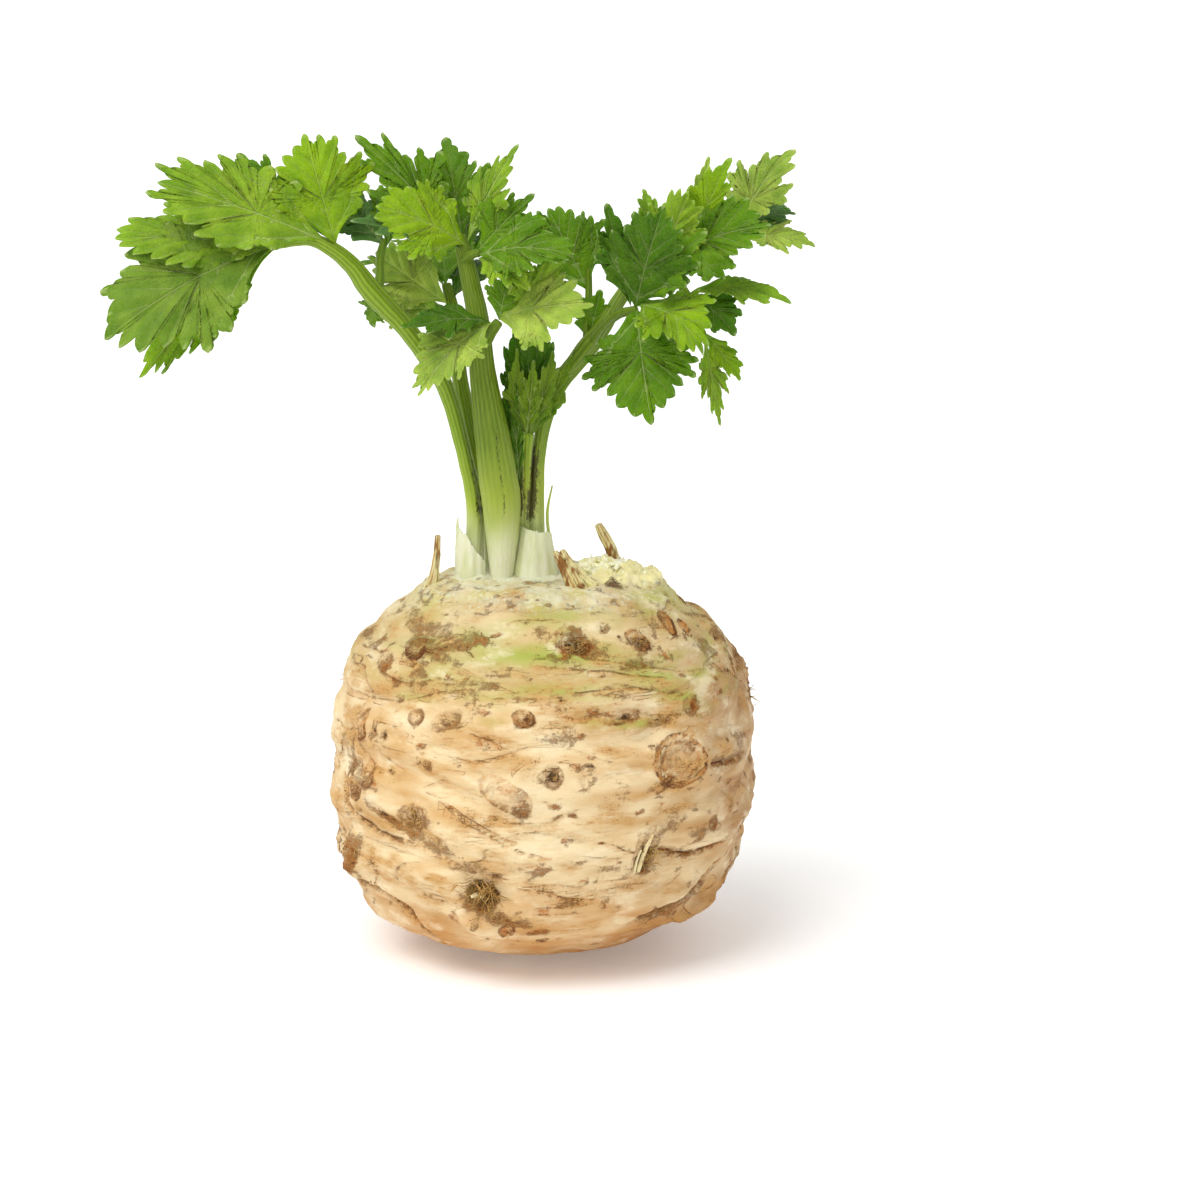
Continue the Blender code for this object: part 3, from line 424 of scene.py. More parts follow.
CREASES = (
    Crease(((-30, 107), (-20, 109), (-2, 109), (16, 110), (31, 110), (47, 109)), 0.7, 0.6),
    Crease(((-1, 97), (11, 96), (23, 95), (36, 92)), 0.6, 0.7),
    Crease(((6, 90), (16, 90), (27, 90), (44, 86)), 0.8, 0.8),
    Crease(
        ((-12, 88), (-3, 88), (3, 86), (8, 83), (17, 84), (25, 84), (36, 82), (49, 80)),
        0.6,
        0.6,
        0.6,
    ),
    Crease(((-23, 57), (-18, 54), (-13, 51), (-7, 48)), -0.8, 0.7, 0.9),
    Crease(((-27, 58), (-21, 53), (-14, 49.5), (-7, 46), (1, 44)), 0.5, 0.6, 0.4),
    Crease(((-5, 33), (2, 32), (6, 30), (14, 29)), 0.5, 0.8, 0.9),
    Crease(((-10, 35), (5, 34), (16, 31), (25, 32)), 0.4, 0.5, 0.7),
    Crease(((45, 66), (53, 65), (62, 64)), 0.7, 1.6, 0.3),
    Crease(((32, 41), (44, 39), (58, 40)), 0.9, 1.5, 0.4),
    Crease(((-70, 58), (-65, 50), (-58, 46), (-48, 44), (-38, 44)), 1.0, 0.9),
    Crease(((-18, 78), (-14, 77), (-8, 74)), 0.4, 0.7, 0.8),
    Crease(((-42, 44), (-29, 42), (-18, 38), (-8, 36)), 0.5, 0.5),
    Crease(((-74, 82), (-48, 84), (-31, 88), (-20, 90)), 0.5, 0.5),
    Crease(((4, 103), (16, 99), (31, 96), (49, 92)), 0.5, 0.5),
    Crease(((29, 20), (40, 22), (51, 26), (62, 32)), 2.2, 1.3),
    Crease(((-84, 30), (-66, 26), (-52, 23), (-40, 15), (-31, 9)), 1.8, 1.2, 0.3),
)

# Marks out of sight of the front are drawn at random between these azimuths, from these kinds.
HIDDEN_FROM, HIDDEN_TO, HIDDEN_SCARS = 78.0, 280.0, 62
SCAR_KINDS = (
    Scar(0, 0, 5.6, 6.0, 0, -0.4, 0.8, 1.0, 0.4, 0.2),
    Scar(0, 0, 4.4, 2.8, 0, 1.0, 0.4, 0.6, 0.6, 0.3, 0.5),
    Scar(0, 0, 2.4, 2.2, 0, 1.0, 0.2, 0.3, 0.7, 0.6, 0.7),
    Scar(0, 0, 5.4, 3.2, 0, -1.0, 0.2, 0.4, 0.5, 0.6),
    Scar(0, 0, 9.0, 3.2, 0, 0.3, 0.0, 0.0, 0.8, 0.3, 0.4),
    Scar(0, 0, 4.8, 4.0, 0, 1.5, 0.6, 0.4, 0.7, 0.1, 0.8),
    Scar(0, 0, 7.0, 2.2, 0, 0.9, 0.2, 0.3, 0.6, 0.3, 0.7),
)
SPECKS, REDDISH_SHARE = 420, 0.3

# Pits that dead rootlets grow out of: azimuth, z, pit radius, how many, how long.
HAIRY_PITS = (
    (-17, 29, 5.6, 170, 9.0), (28, 41, 4.0, 46, 7.0), (12, 102.5, 4.0, 80, 4.0),
    (36, 102, 2.6, 26, 3.0), (2, 67.5, 1.8, 18, 2.6), (-65, 34, 5.0, 26, 4.0),
    (-26, 101, 7.0, 24, 5.0), (-36, 52, 4.0, 30, 3.6), (128, 40, 5.5, 46, 9.0),
    (172, 28, 6.0, 60, 12.0), (-150, 58, 4.5, 30, 8.0), (-118, 34, 6.0, 46, 10.0),
    (104, 74, 4.0, 24, 6.0), (-95, 80, 3.6, 20, 5.0),
)

# Withered stalk ends, each as strands of (x, y, z, radius) knots.
STRANDS = (
    (
        (-33.8, -8, 102, 2.2), (-32.0, -7, 108.5, 1.4), (-30.0, -6.4, 114, 1.0),
        (-28.7, -5.6, 120, 1.0), (-28.3, -5, 126, 0.75),
    ),
    (
        (-30.5, -8, 105, 1.6), (-29.3, -7, 111, 1.0),
        (-28.9, -6.4, 117, 0.7), (-28.2, -6.0, 121, 0.4),
    ),
    (
        (13.5, -17.5, 108, 2.0), (11.0, -15.6, 114, 1.6),
        (8.6, -14.2, 119, 1.4), (6.4, -13.2, 122.6, 0.6),
    ),
    (
        (22.0, -15.0, 109, 2.2), (16.5, -14.2, 113.5, 1.6),
        (11.5, -13.4, 118, 1.4), (8.4, -12.6, 122.8, 0.8),
    ),
    (
        (17.0, -17.5, 107, 1.8), (14.4, -16.4, 112.5, 1.2),
        (11.8, -15.2, 117, 1.0), (9.5, -14.0, 120, 0.6),
    ),
    (
        (26.0, 4, 107, 2.6), (24.6, 4.6, 114, 1.9), (23.2, 4.9, 120, 1.5),
        (20.8, 5, 124.5, 1.4), (19.2, 5, 127.6, 0.9),
    ),
    ((4, 24, 104, 3.4), (4, 22, 112, 2.4), (3, 20, 118, 1.7), (2, 19, 122, 0.8)),
    ((-22, 20, 103, 3.2), (-22, 18, 112, 2.2), (-23, 17, 119, 1.0)),
)

# Torn bits of the crown: middle, spread, how many crumbs, how large.
SHREDS = (
    ((20.5, 1.0, 116.5), 6.5, 190, 1.3),
    ((28.0, 1.0, 113.5), 6.0, 170, 1.1),
    ((33.5, -2.0, 110.0), 4.5, 90, 0.9),
    ((15.0, -2.0, 115.5), 4.5, 80, 1.0),
)
CRUMB_RINGS, CRUMB_SIDES, CRUMB_LUMPS, TUFT_FLATNESS, TUFT_FALL = 6, 9, 0.35, 0.28, 0.28
FIBRES_A_TUFT, FIBRE_RADIUS, FIBRE_LENGTH = 26, 0.22, 4.5

# Short pale stubs in the pits: azimuth, z, how far it leans round and up, length, radius.
STUBS = (
    (-16, 29.0, -0.6, 0.5, 5.0, 0.95), (27.0, 37, 0.25, 3.0, 13.0, 0.7),
    (25.5, 36, 0.0, 3.0, 9.0, 0.4), (32.0, 44, -0.9, 2.6, 7.0, 0.35),
)

# Narrow young blades that stand between the centre stalk and the young one.
YOUNG_BLADES = (
    Leaflet((-4.9, 1.5, 136), (-7.6, 0.5, 174), 6, (-0.3, -1, 0), "small", 1.0, 0.3),
    Leaflet((-3.9, -0.6, 140), (-5.6, -1.6, 168), 5, (-0.2, -1, 0), "small", 1.0, 0.3),
)


def linear(red, green, blue):
    """A linear colour from sRGB bytes."""
    shares = np.array((red, green, blue)) / 255
    return np.where(shares <= 0.04045, shares / 12.92, ((shares + 0.055) / 1.055) ** 2.4)


CREAM = linear(231, 208, 163)
CREAM_PALE = linear(240, 225, 188)
TAN = linear(202, 156, 92)
STAIN = linear(187, 126, 58)
SHADED = linear(158, 108, 52)
BROWN = linear(132, 82, 34)
PEPPER = linear(118, 78, 44)
DARK = linear(94, 56, 28)
PIT = linear(58, 38, 24)
ORANGE = linear(196, 122, 52)
RUST = linear(150, 82, 28)
GREENED = linear(166, 174, 76)
DIRTY = linear(200, 176, 118)
CROWN_PALE = linear(218, 210, 176)
CROWN_YELLOW = linear(206, 194, 120)
FOOT_WHITE = linear(228, 229, 200)
STALK_PALE = linear(174, 188, 70)
STALK_GREEN = linear(104, 140, 8)
STALK_DEEP = linear(60, 92, 4)
# Soil specks, and painted shade in the narrow gaps between stalks.
SOIL_AND_GAP_SHADE = linear(54, 40, 24)
PALE_TIP = linear(214, 222, 160)
# What a leaf's green is multiplied by where it is deeper.
DEEPER_LEAF = (0.52, 0.66, 0.4)
TORN_YELLOW = linear(240, 231, 168)
TORN_PALE = linear(250, 246, 214)
WITHERED = linear(176, 132, 78)
WITHERED_FIBRE = linear(226, 214, 158)
STUB_PALE = linear(236, 220, 172)

TINTS = {
    "bright": linear(140, 174, 14),
    "light": linear(144, 176, 40),
    "soft": linear(122, 150, 44),
    "pale": linear(172, 192, 78),
    "mid": linear(100, 140, 4),
    "dark": linear(74, 114, 2),
    "blue": linear(88, 122, 62),
    "young": linear(110, 138, 20),
}


class StemLook(NamedTuple):
    """How a leafy stem looks.

    Its gutter's turn from +X towards the front, in degrees, how much thicker it is than its
    solid, in millimetres, its shade, and its leaflets' tints in order.
    """

    gutter: float
    swell: float
    shade: float
    tints: str


STEM_LOOKS = {
    "leafy_stem_left": StemLook(
        25, 0.1, 1.12, "bright light mid soft light bright blue mid mid dark"
    ),
    "leafy_stem_centre": StemLook(
        -90, 0.1, 0.8, "mid mid light bright blue mid mid light pale light mid pale dark mid mid"
    ),
    "leafy_stem_young": StemLook(90, 0.35, 1.05, "young young young young dark dark"),
    "leafy_stem_right": StemLook(
        40,
        0.35,
        0.9,
        "mid mid dark dark mid mid bright mid mid bright light light pale pale blue pale "
        "light dark light bright dark mid",
    ),
    "leafy_stem_back": StemLook(60, 0.1, 0.9, "pale pale mid dark mid"),
}

# Each kind of blade has its veins as (start, end, half width in millimetres), on one side.
VEINS = {
    "broad": (
        ((0.0, 0.0), (0.0, 1.0), 0.55),
        ((0.0, 0.10), (0.545, 0.59), 0.42),
        ((0.09, 0.185), (0.39, 0.30), 0.28),
        ((0.20, 0.28), (0.50, 0.43), 0.26),
        ((0.24, 0.315), (0.455, 0.70), 0.26),
        ((0.0, 0.40), (0.345, 0.76), 0.32),
        ((0.0, 0.56), (0.285, 0.885), 0.26),
        ((0.0, 0.72), (0.145, 0.965), 0.22),
        ((0.0, 0.27), (0.225, 0.57), 0.2),
    ),
    "cut": (
        ((0.0, 0.0), (0.0, 1.0), 0.5),
        ((0.0, 0.14), (0.51, 0.52), 0.38),
        ((0.10, 0.215), (0.35, 0.35), 0.25),
        ((0.22, 0.305), (0.44, 0.67), 0.25),
        ((0.0, 0.42), (0.25, 0.68), 0.28),
        ((0.0, 0.60), (0.21, 0.84), 0.24),
    ),
    "small": (
        ((0.0, 0.0), (0.0, 1.0), 0.42),
        ((0.0, 0.12), (0.41, 0.34), 0.26),
        ((0.0, 0.26), (0.52, 0.58), 0.3),
        ((0.0, 0.48), (0.35, 0.80), 0.24),
    ),
}


def lattice(points, cell, seed):
    """Smooth random values from -1 to 1 that change over about one cell."""
    at = points / np.array(cell, float)
    low = np.floor(at).astype(np.int64)
    part = at - low
    ease = part * part * (3 - 2 * part)
    total = np.zeros(len(points))
    for corner in itertools.product((0, 1), repeat=3):
        x, y, z = (low + np.array(corner)).astype(np.uint64).T
        mixed = x * np.uint64(73856093) ^ y * np.uint64(19349663)
        mixed ^= z * np.uint64(83492791) ^ np.uint64(seed * 2654435761)
        mixed = (mixed ^ mixed >> np.uint64(15)) * np.uint64(2246822519)
        mixed = (mixed ^ mixed >> np.uint64(13)) & np.uint64(0xFFFFFF)
        weight = np.prod(np.where(corner, ease, 1 - ease), axis=1)
        total += weight * (mixed.astype(float) / 0x7FFFFF - 1)
    return total


def cloud(points, cell, seed, octaves=3):
    """Smooth random values with finer and weaker ones added."""
    cell = np.array(cell, float) * np.ones(3)
    return sum(
        lattice(points, cell / 2**octave, seed + octave) / 2**octave for octave in range(octaves)
    )


def step_between(low, high, values):
    """0 below low, 1 above high, and smooth between them."""
    share = np.clip((values - low) / (high - low), 0, 1)
    return share * share * (3 - 2 * share)


def bell(offset, width):
    """1 in the middle, falling off as a bell curve."""
    return np.exp(-((offset / width) ** 2))


def blended(first, second, share):
    """The colours from first to second by a share a point."""
    share = np.clip(share, 0, 1)[:, None]
    return first * (1 - share) + second * share


def piece(name, points, faces, layers, material, node):
    """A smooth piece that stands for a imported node. Layers are three numbers a point, by name."""
    mesh = bpy.data.meshes.new(name)
    mesh.from_pydata((points * MM).tolist(), [], faces)
    mesh.update()
    mesh.shade_smooth()
    for layer_name, values in layers.items():
        layer = mesh.color_attributes.new(layer_name, "FLOAT_COLOR", "POINT")
        numbers = np.column_stack([values, np.ones(len(values))])
        layer.data.foreach_set("color", numbers.astype(np.float32).ravel())
    mesh.materials.append(material)
    thing = bpy.data.objects.new(name, mesh)
    bpy.context.scene.collection.objects.link(thing)
    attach(thing, "root")
    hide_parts(node)


def ring_faces(rings, around, first=0):
    """Four-cornered faces between rings of points that each go all the way round."""
    faces = []
    for low in range(rings - 1):
        start = first + low * around
        for k in range(around):
            beside = (k + 1) % around
            faces.append((start + k, start + beside, start + around + beside, start + around + k))
    return faces


def tube_faces(rings, around):
    """A tube's faces, closed at each end round a point. The two points follow the rings."""
    last, low = (rings - 1) * around, rings * around
    under = [(k, low, (k + 1) % around) for k in range(around)]
    over = [(last + k, last + (k + 1) % around, low + 1) for k in range(around)]
    return ring_faces(rings, around) + under + over


def walled(faces, border):
    """The faces of a thin shell, from those of its first side and the points round its edge.

    The second side's points follow the first side's, in the same order.
    """
    count = max(itertools.chain(*faces)) + 1
    behind = [tuple(count + corner for corner in face[::-1]) for face in faces]
    pairs = zip(border, [*border[1:], border[0]])
    return faces + behind + [(b, a, count + a, count + b) for a, b in pairs]


def swept(centre, reach, turns, hint):
    """Rings of points round a path at a reach from it, and which way the path runs.

    The turns are counted from the side that is square to the path and to hint.
    """
    along = np.gradient(centre, axis=0)
    along /= np.linalg.norm(along, axis=1)[:, None]
    side = np.cross(along, hint)
    side /= np.linalg.norm(side, axis=1)[:, None]
    front = np.cross(side, along)
    shape = side[:, None] * np.cos(turns)[:, None] + front[:, None] * np.sin(turns)[:, None]
    return (centre[:, None] + reach[:, :, None] * shape).reshape(-1, 3), along


class Field:
    """A number or a colour in a material. Arithmetic on it makes the nodes."""

    def __init__(self, shader, socket):
        self.shader, self.socket = shader, socket

    def __add__(self, other):
        return self.shader.math("ADD", self, other)

    def __sub__(self, number):
        return self + -number

    def __mul__(self, other):
        return self.shader.math("MULTIPLY", self, other)

    def __abs__(self):
        return self.shader.math("ABSOLUTE", self, 0.0)

    def ramp(self, low, high, start=0.0, end=1.0):
        """Goes smoothly from start to end while the field goes from low to high."""
        inputs = {"Value": self, "From Min": low, "From Max": high, "To Min": start, "To Max": end}
        return self.shader.node("MapRange", "Result", inputs, interpolation_type="SMOOTHSTEP")

    def toward(self, other, share, blend="MIX"):
        return self.shader.mix(share, self, other, blend)


class Shader:
    """Makes a material's nodes with one call each."""

    def __init__(self, name, **surface):
        self.material = bpy.data.materials.new(name)
        self.material.use_nodes = True
        self.tree = self.material.node_tree
        self.surface = self.tree.nodes["Principled BSDF"]
        for socket, value in surface.items():
            self.surface.inputs[socket.replace("_", " ")].default_value = value

    def feed(self, socket, value):
        if isinstance(value, Field):
            self.tree.links.new(value.socket, socket)
        elif isinstance(value, (tuple, np.ndarray)) and socket.type == "RGBA":
            socket.default_value = (*value, 1.0)
        else:
            socket.default_value = value

    def node(self, kind, output, inputs, **settings):
        made = self.tree.nodes.new("ShaderNode" + kind)
        for name, value in settings.items():
            setattr(made, name, value)
        for name, value in inputs.items():
            self.feed(made.inputs[name], value)
        return Field(self, made.outputs[output])

    def place(self, stretch=(1.0, 1.0, 1.0)):
        """The piece's own coordinates, in millimetres, scaled by stretch."""
        scale = tuple(factor / MM for factor in stretch)
        spot = self.node("TexCoord", "Object", {})
        return self.node("Mapping", "Vector", {"Vector": spot, "Scale": scale})

    def noise(self, place, cell, detail=4.0, rough=0.6):
        inputs = {"Vector": place, "Scale": 1 / cell, "Detail": detail, "Roughness": rough}
        return self.node("TexNoise", "Fac", inputs)

    def cells(self, place, cell, feature="F1"):
        inputs = {"Vector": place, "Scale": 1 / cell}
        return self.node("TexVoronoi", "Distance", inputs, feature=feature)

    def layer(self, name):
        """A stored layer's colour."""
        return self.node("Attribute", "Color", {}, attribute_name=name)

    def parts(self, name):
        """The three numbers of a stored layer."""
        split = self.tree.nodes.new("ShaderNodeSeparateColor")
        self.feed(split.inputs["Color"], self.layer(name))
        return [Field(self, output) for output in split.outputs]

    def math(self, operation, first, second):
        return self.node("Math", "Value", {0: first, 1: second}, operation=operation)

    def mix(self, share, first, second, blend="MIX"):
        """A colour from first to second, by share."""
        made = self.tree.nodes.new("ShaderNodeMix")
        made.data_type = "RGBA"
        made.blend_type = blend
        for index, value in ((0, share), (6, first), (7, second)):
            self.feed(made.inputs[index], value)
        return Field(self, made.outputs[2])

    def finish(self, colour, roughness, height, depth):
        """Gives the surface its colour and roughness, and a bump of depth millimetres."""
        inputs = {"Height": height, "Distance": depth * MM, "Strength": 1.0}
        self.feed(self.surface.inputs["Base Color"], colour)
        self.feed(self.surface.inputs["Roughness"], roughness)
        self.feed(self.surface.inputs["Normal"], self.node("Bump", "Normal", inputs))
        return self.material


def skin_material():
    """The root's skin: cream with tan clouds, painted shade at fold edges, brown patches and pits."""
    shader = Shader(
        "celeriac_skin",
        Specular_IOR_Level=0.22,
        Subsurface_Weight=0.05,
        Subsurface_Radius=(1.0, 0.55, 0.25),
        Subsurface_Scale=2 * MM,
    )
    round_it, flat = shader.place(), shader.place((1.0, 1.0, 2.4))
    brown, dark, rust = shader.parts("marks")
    aside, strength, rusty = shader.parts("lines")
    torn, crusty, _ = shader.parts("crust")
    mottle = shader.noise(flat, 15.0, 5.0, 0.62)
    streaks = shader.noise(shader.place((1.0, 1.0, 4.5)), 5.0, 5.0, 0.65)
    fine = shader.noise(round_it, 1.7, 4.0, 0.65)
    grain = shader.noise(round_it, 0.5, 3.0)
    calm = shader.noise(flat, 30.0, 2.0, 0.5).ramp(0.42, 0.62, 0.2, 1.0)
    calm = calm * torn.ramp(0.0, 0.6, 1.0, 0.15)
    rough = fine - 0.5
    wild = (streaks - 0.5) * 1.1 + (rough * 1.3 + (grain - 0.5) * 0.7)
    softer = wild * 0.6

    colour = shader.layer("skin").toward(CREAM_PALE, mottle.ramp(0.47, 0.30, 0.0, 0.6))
    colour = colour.toward(TAN, mottle.ramp(0.47, 0.66, 0.0, 0.85) * calm)
    colour = colour.toward(STAIN, streaks.ramp(0.50, 0.72, 0.0, 0.62) * calm)
    # Painted shade: the stain colour is laid on one side of each drawn line, the side under a fold's
    # edge.
    under_edge = aside.ramp(-2.4, -0.1) * aside.ramp(0.0, 0.3, 1.0, 0.0)
    shade_under_edge = under_edge * strength * fine.ramp(0.3, 0.6, 0.15, 0.8)
    colour = colour.toward(STAIN, shade_under_edge)

    brown_share = (brown + softer).ramp(0.16, 0.8, 0.0, 0.95)
    colour = colour.toward(shader.mix(grain.ramp(0.40, 0.72), BROWN, STAIN), brown_share)
    rust_share = (rust + softer).ramp(0.3, 0.95, 0.0, 0.8)
    colour = colour.toward(shader.mix(grain, ORANGE, RUST), rust_share)
    busy = brown * 0.45 + mottle.ramp(0.50, 0.66, 0.0, 0.6) + shade_under_edge * 0.6
    seed = shader.cells(flat, 0.85) + fine * 0.5 + busy * -0.62
    pepper = seed.ramp(-0.02, 0.16, 0.72, 0.0) * torn.ramp(0.0, 0.6, 1.0, 0.2)
    colour = colour.toward(PEPPER, pepper)
    dark_share = (dark + wild).ramp(0.33, 0.85, 0.0, 0.94)
    colour = colour.toward(shader.mix(grain.ramp(0.45, 0.68), PIT, BROWN), dark_share)

    broken = shader.noise(round_it, 4.5, 3.0).ramp(0.43, 0.60, 0.06, 1.0)
    line_share = (abs(aside) + rough * 0.5).ramp(0.02, 0.32, 1.0, 0.0) * strength * broken
    colour = colour.toward(shader.mix(rusty, DARK, RUST), line_share * 0.72)
    fuzz = (crusty + rough * 1.6).ramp(0.32, 0.8, 0.0, 0.85)
    colour = colour.toward(FOOT_WHITE, fuzz)
    height = (
        streaks * calm.ramp(0.3, 1.0, 0.3, 0.9)
        + fine * (crusty * 1.2)
        + fine * brown_share.ramp(0.0, 0.7, 0.3, 1.1)
        + grain * brown_share.ramp(0.0, 0.7, 0.12, 0.5)
        + line_share * -0.9
        + pepper * -0.35
        + dark_share * -0.6
    )
    return shader.finish(colour, brown_share.ramp(0.0, 1.0, 0.6, 0.88), height, 0.8)


def stalk_material():
    """Stalks, sheaths and stubs: a painted colour, fine lengthwise fibre, soil specks and painted gap
    shade.
    """
    shader = Shader(
        "celeriac_stalk",
        Specular_IOR_Level=0.26,
        Subsurface_Weight=0.12,
        Subsurface_Radius=(0.8, 1.0, 0.3),
        Subsurface_Scale=2 * MM,
    )
    base, soiled = shader.layer("tint"), shader.parts("detail")[0]
    fibre = shader.noise(shader.place((1.0, 1.0, 0.12)), 0.7)
    cloudy = shader.noise(shader.place(), 6.0, 3.0, 0.5)
    specks = shader.noise(shader.place((1.0, 1.0, 0.45)), 0.9, 4.0, 0.7)
    colour = base.toward(STALK_PALE, fibre.ramp(0.4, 0.62, 0.0, 0.14))
    colour = colour.toward(base, cloudy.ramp(0.35, 0.7, 0.0, 0.3))
    # The soil colour also fills the narrow gaps between stalks as painted shade.
    colour = colour.toward(SOIL_AND_GAP_SHADE, (soiled + specks).ramp(1.0, 1.2, 0.0, 0.85))
    return shader.finish(colour, fibre.ramp(0.3, 0.7, 0.38, 0.5), fibre, 0.16)


def leaf_material():
    """Leaflets: thin pale veins over a painted green, a net of fine ones and a matt under side."""
    shader = Shader(
        "celeriac_leaf",
        Specular_IOR_Level=0.15,
        Subsurface_Weight=0.3,
        Subsurface_Radius=(0.5, 1.0, 0.2),
        Subsurface_Scale=0.9 * MM,
    )
    round_it, base = shader.place(), shader.layer("tint")
    aside, strength, tip = shader.parts("detail")
    under, soiled, pallor = shader.parts("side")
    cloudy = shader.noise(round_it, 6.0, 4.0, 0.55)
    fine = shader.noise(round_it, 0.8, 3.0)
    spots = shader.noise(round_it, 2.2, 4.0, 0.7)
    net = shader.cells(round_it, 1.7, "DISTANCE_TO_EDGE").ramp(0.02, 0.14, 1.0, 0.0)
    deeper = base.toward(DEEPER_LEAF, 1.0, "MULTIPLY")
    pale = base.toward(PALE_TIP, 0.45)
    vein_share = abs(aside).ramp(0.25, 1.0, 1.0, 0.0) * strength
    colour = base.toward(deeper, cloudy.ramp(0.32, 0.70, 0.0, 0.7))
    colour = colour.toward(pale, net * 0.08)
    colour = colour.toward(pale, vein_share * pallor)
    colour = colour.toward(pale, under * 0.22)
    colour = colour.toward(PALE_TIP, tip * 0.6)
    colour = colour.toward(SOIL_AND_GAP_SHADE, (soiled + spots).ramp(1.12, 1.25, 0.0, 0.75))
    height = net * -0.4 + fine * 0.3 + vein_share * -0.7
    return shader.finish(colour, under.ramp(0.0, 1.0, 0.5, 0.68), height, 0.26)


def smooth_curve(knots, steps):
    """The points of a smooth curve through knots, with steps spans between each two of them."""
    knots = np.array(knots, float)
    ends = np.vstack([2 * knots[0] - knots[1], knots, 2 * knots[-1] - knots[-2]])
    found = [knots[0]]
    for i in range(1, len(knots)):
        p0, p1, p2, p3 = ends[i - 1 : i + 3]
        for t in np.arange(1, steps + 1) / steps:
            bend = (2 * p0 - 5 * p1 + 4 * p2 - p3) * t**2 + (3 * p1 - p0 - 3 * p2 + p3) * t**3
            found.append(0.5 * (2 * p1 + (p2 - p0) * t + bend))
    return np.array(found)


def root_profile(rows):
    """(radius, z) at even steps of length along the root's side, from flat spot to crown."""
    radius, z = smooth_curve(ROOT_SIDE, PROFILE_STEPS).T
    length = np.concatenate([[0], np.cumsum(np.hypot(np.diff(radius), np.diff(z)))])
    steps = np.linspace(0, length[-1], rows)
    return np.interp(steps, length, radius), np.interp(steps, length, z)


def root_lobes(azimuth, z):
    """How much wider or narrower the root is than a turned body, as a share of its radius."""
    twist = LOBE_TWIST * np.sin(z / LOBE_TWIST_RISE + 0.7)
    return sum(
        share * np.cos(times * azimuth + start + turns * twist)
        for times, share, start, turns in ROOT_LOBES
    )


def root_bands(azimuth, z):
    """The wavy rings that old leaf rows leave round the root, in millimetres."""
    wave = sum(rise * np.sin(times * azimuth + start) for times, rise, start in BAND_WAVES)
    phase = 2 * np.pi * (z + wave) / BAND_SPACING
    return BAND_RELIEF * np.sin(phase) + FINE_BAND_RELIEF * np.sin(FINE_BANDS * phase + 1.2)


def spot_on_root(azimuth, z):
    """The point of the plain turned body at an azimuth in degrees and a height."""
    radius, heights = smooth_curve(ROOT_SIDE, PROFILE_STEPS).T
    reach = np.interp(z, heights, radius)
    turn = math.radians(azimuth)
    return np.array([reach * math.sin(turn), -reach * math.cos(turn), z])


def root_relief(points, azimuth):
    """How far the skin stands out at each point of the turned body, in millimetres."""
    relief = root_bands(azimuth, points[:, 2])
    for mark in MARKS:
        near = np.linalg.norm(points - spot_on_root(mark.azimuth, mark.z), axis=1)
        relief += mark.relief * np.exp(-MARK_FALL * (near / mark.radius) ** 2)
    return relief


def leaflet_frame(leaflet):
    """(base, length, and the directions across, along and out of a leaflet's blade)."""
    base, tip = np.array(leaflet.base, float), np.array(leaflet.tip, float)
    length = np.linalg.norm(tip - base)
    along = (tip - base) / length
    out = np.array(leaflet.face, float)
    out -= along * (out @ along)
    out /= np.linalg.norm(out)
    return base, length, np.cross(along, out), along, out


SKIN_COLUMNS, SIDE_ROWS, CROWN_ROWS = 420, 196, 28
CROWN_MIDDLE_RADIUS = 1.2
# The part holds 3 of its 29 steps at each end of the side to the plain turned shape.
HELD_SHARE = 3 / 29
FLOOR_CLEARED, SPOT_CLEARED, SPOT_RELIEF = (0, 8), (8, 20), 0.4

# A fold is the edge of a layer of skin: how layers wave, how thick they are, how they show, and the
# painted shade along its edge.
FOLD_CELL, FOLD_LAYERS, LAYER_RISE, FOLD_RELIEF = (34.0, 34.0, 11.0), 2.2, 30.0, 0.9
FOLD_EASE, FOLDED_CELL, FOLDED, LEVEL_FOLDS = 0.10, 19.0, (-0.25, 0.45), (0.35, 1.1)
FOLD_LINE, FOLD_DRAWN, FOLD_RUSTY, FOLD_SHADE, FOLD_SHADE_WIDTH = 9.0, 0.7, 0.55, 0.42, 0.09
LUMP_CELL, LUMP_RELIEF = (12.0, 12.0, 7.0), 0.5
WRINKLE_CELL, WRINKLE_RELIEF = (7.0, 7.0, 2.4), 0.22
DRIFT_CELL, DRIFT = 26.0, 6.0

WANDER_CELL, RAGGED_CELL, RAGGED = 5.0, 2.6, 0.2
SCAR_REACH, SCAR_FALL, SCAR_RIM, SCAR_RIM_WIDTH = 2.3, 2.2, 1.05, 0.2
ROUND_WOBBLE, SMALL_WOBBLE, SMALLEST_ROUND = 0.03, 0.13, 5.0
# Painted shade: each scar's brown, dark middle and ring lines are drawn deeper on this side of it, its
# lower right.
SHADED_SIDE = math.radians(-50)
SCAR_RINGS, SMALLEST_RINGED = ((1.0, 1.0), (0.7, 0.7), (0.4, 0.45)), 3.0
RING_SPACING, RING_RELIEF, RING_THICKNESS = 0.3, 0.3, 1.7
SCAR_LINE, LINE_REACH, NO_LINE = 1.5, 2.6, 9.0
BROWN_MARK, DARK_MARK, RUST_MARK = 0, 1, 2
# In shares of a scar's size: how far its colours reach, and where its brown is deepest.
BROWN_REACH, RUST_REACH, DARK_FALL = (1.6, 0.6), (1.3, 0.5), 1.6
BROWN_EDGE, BROWN_EDGE_WIDTH, RINGS_END = 0.85, 0.3, (1.2, 0.95)
CREASE_WIDTH, CREASE_WANDER, CREASE_ENDS, CREASE_MARGIN = 1.1, 0.4, 0.12, 4
CREASE_LIP, CREASE_LIP_AT, CREASE_SHADE, CREASE_SHADE_WIDTH = 0.35, 2.4, 0.36, 1.6

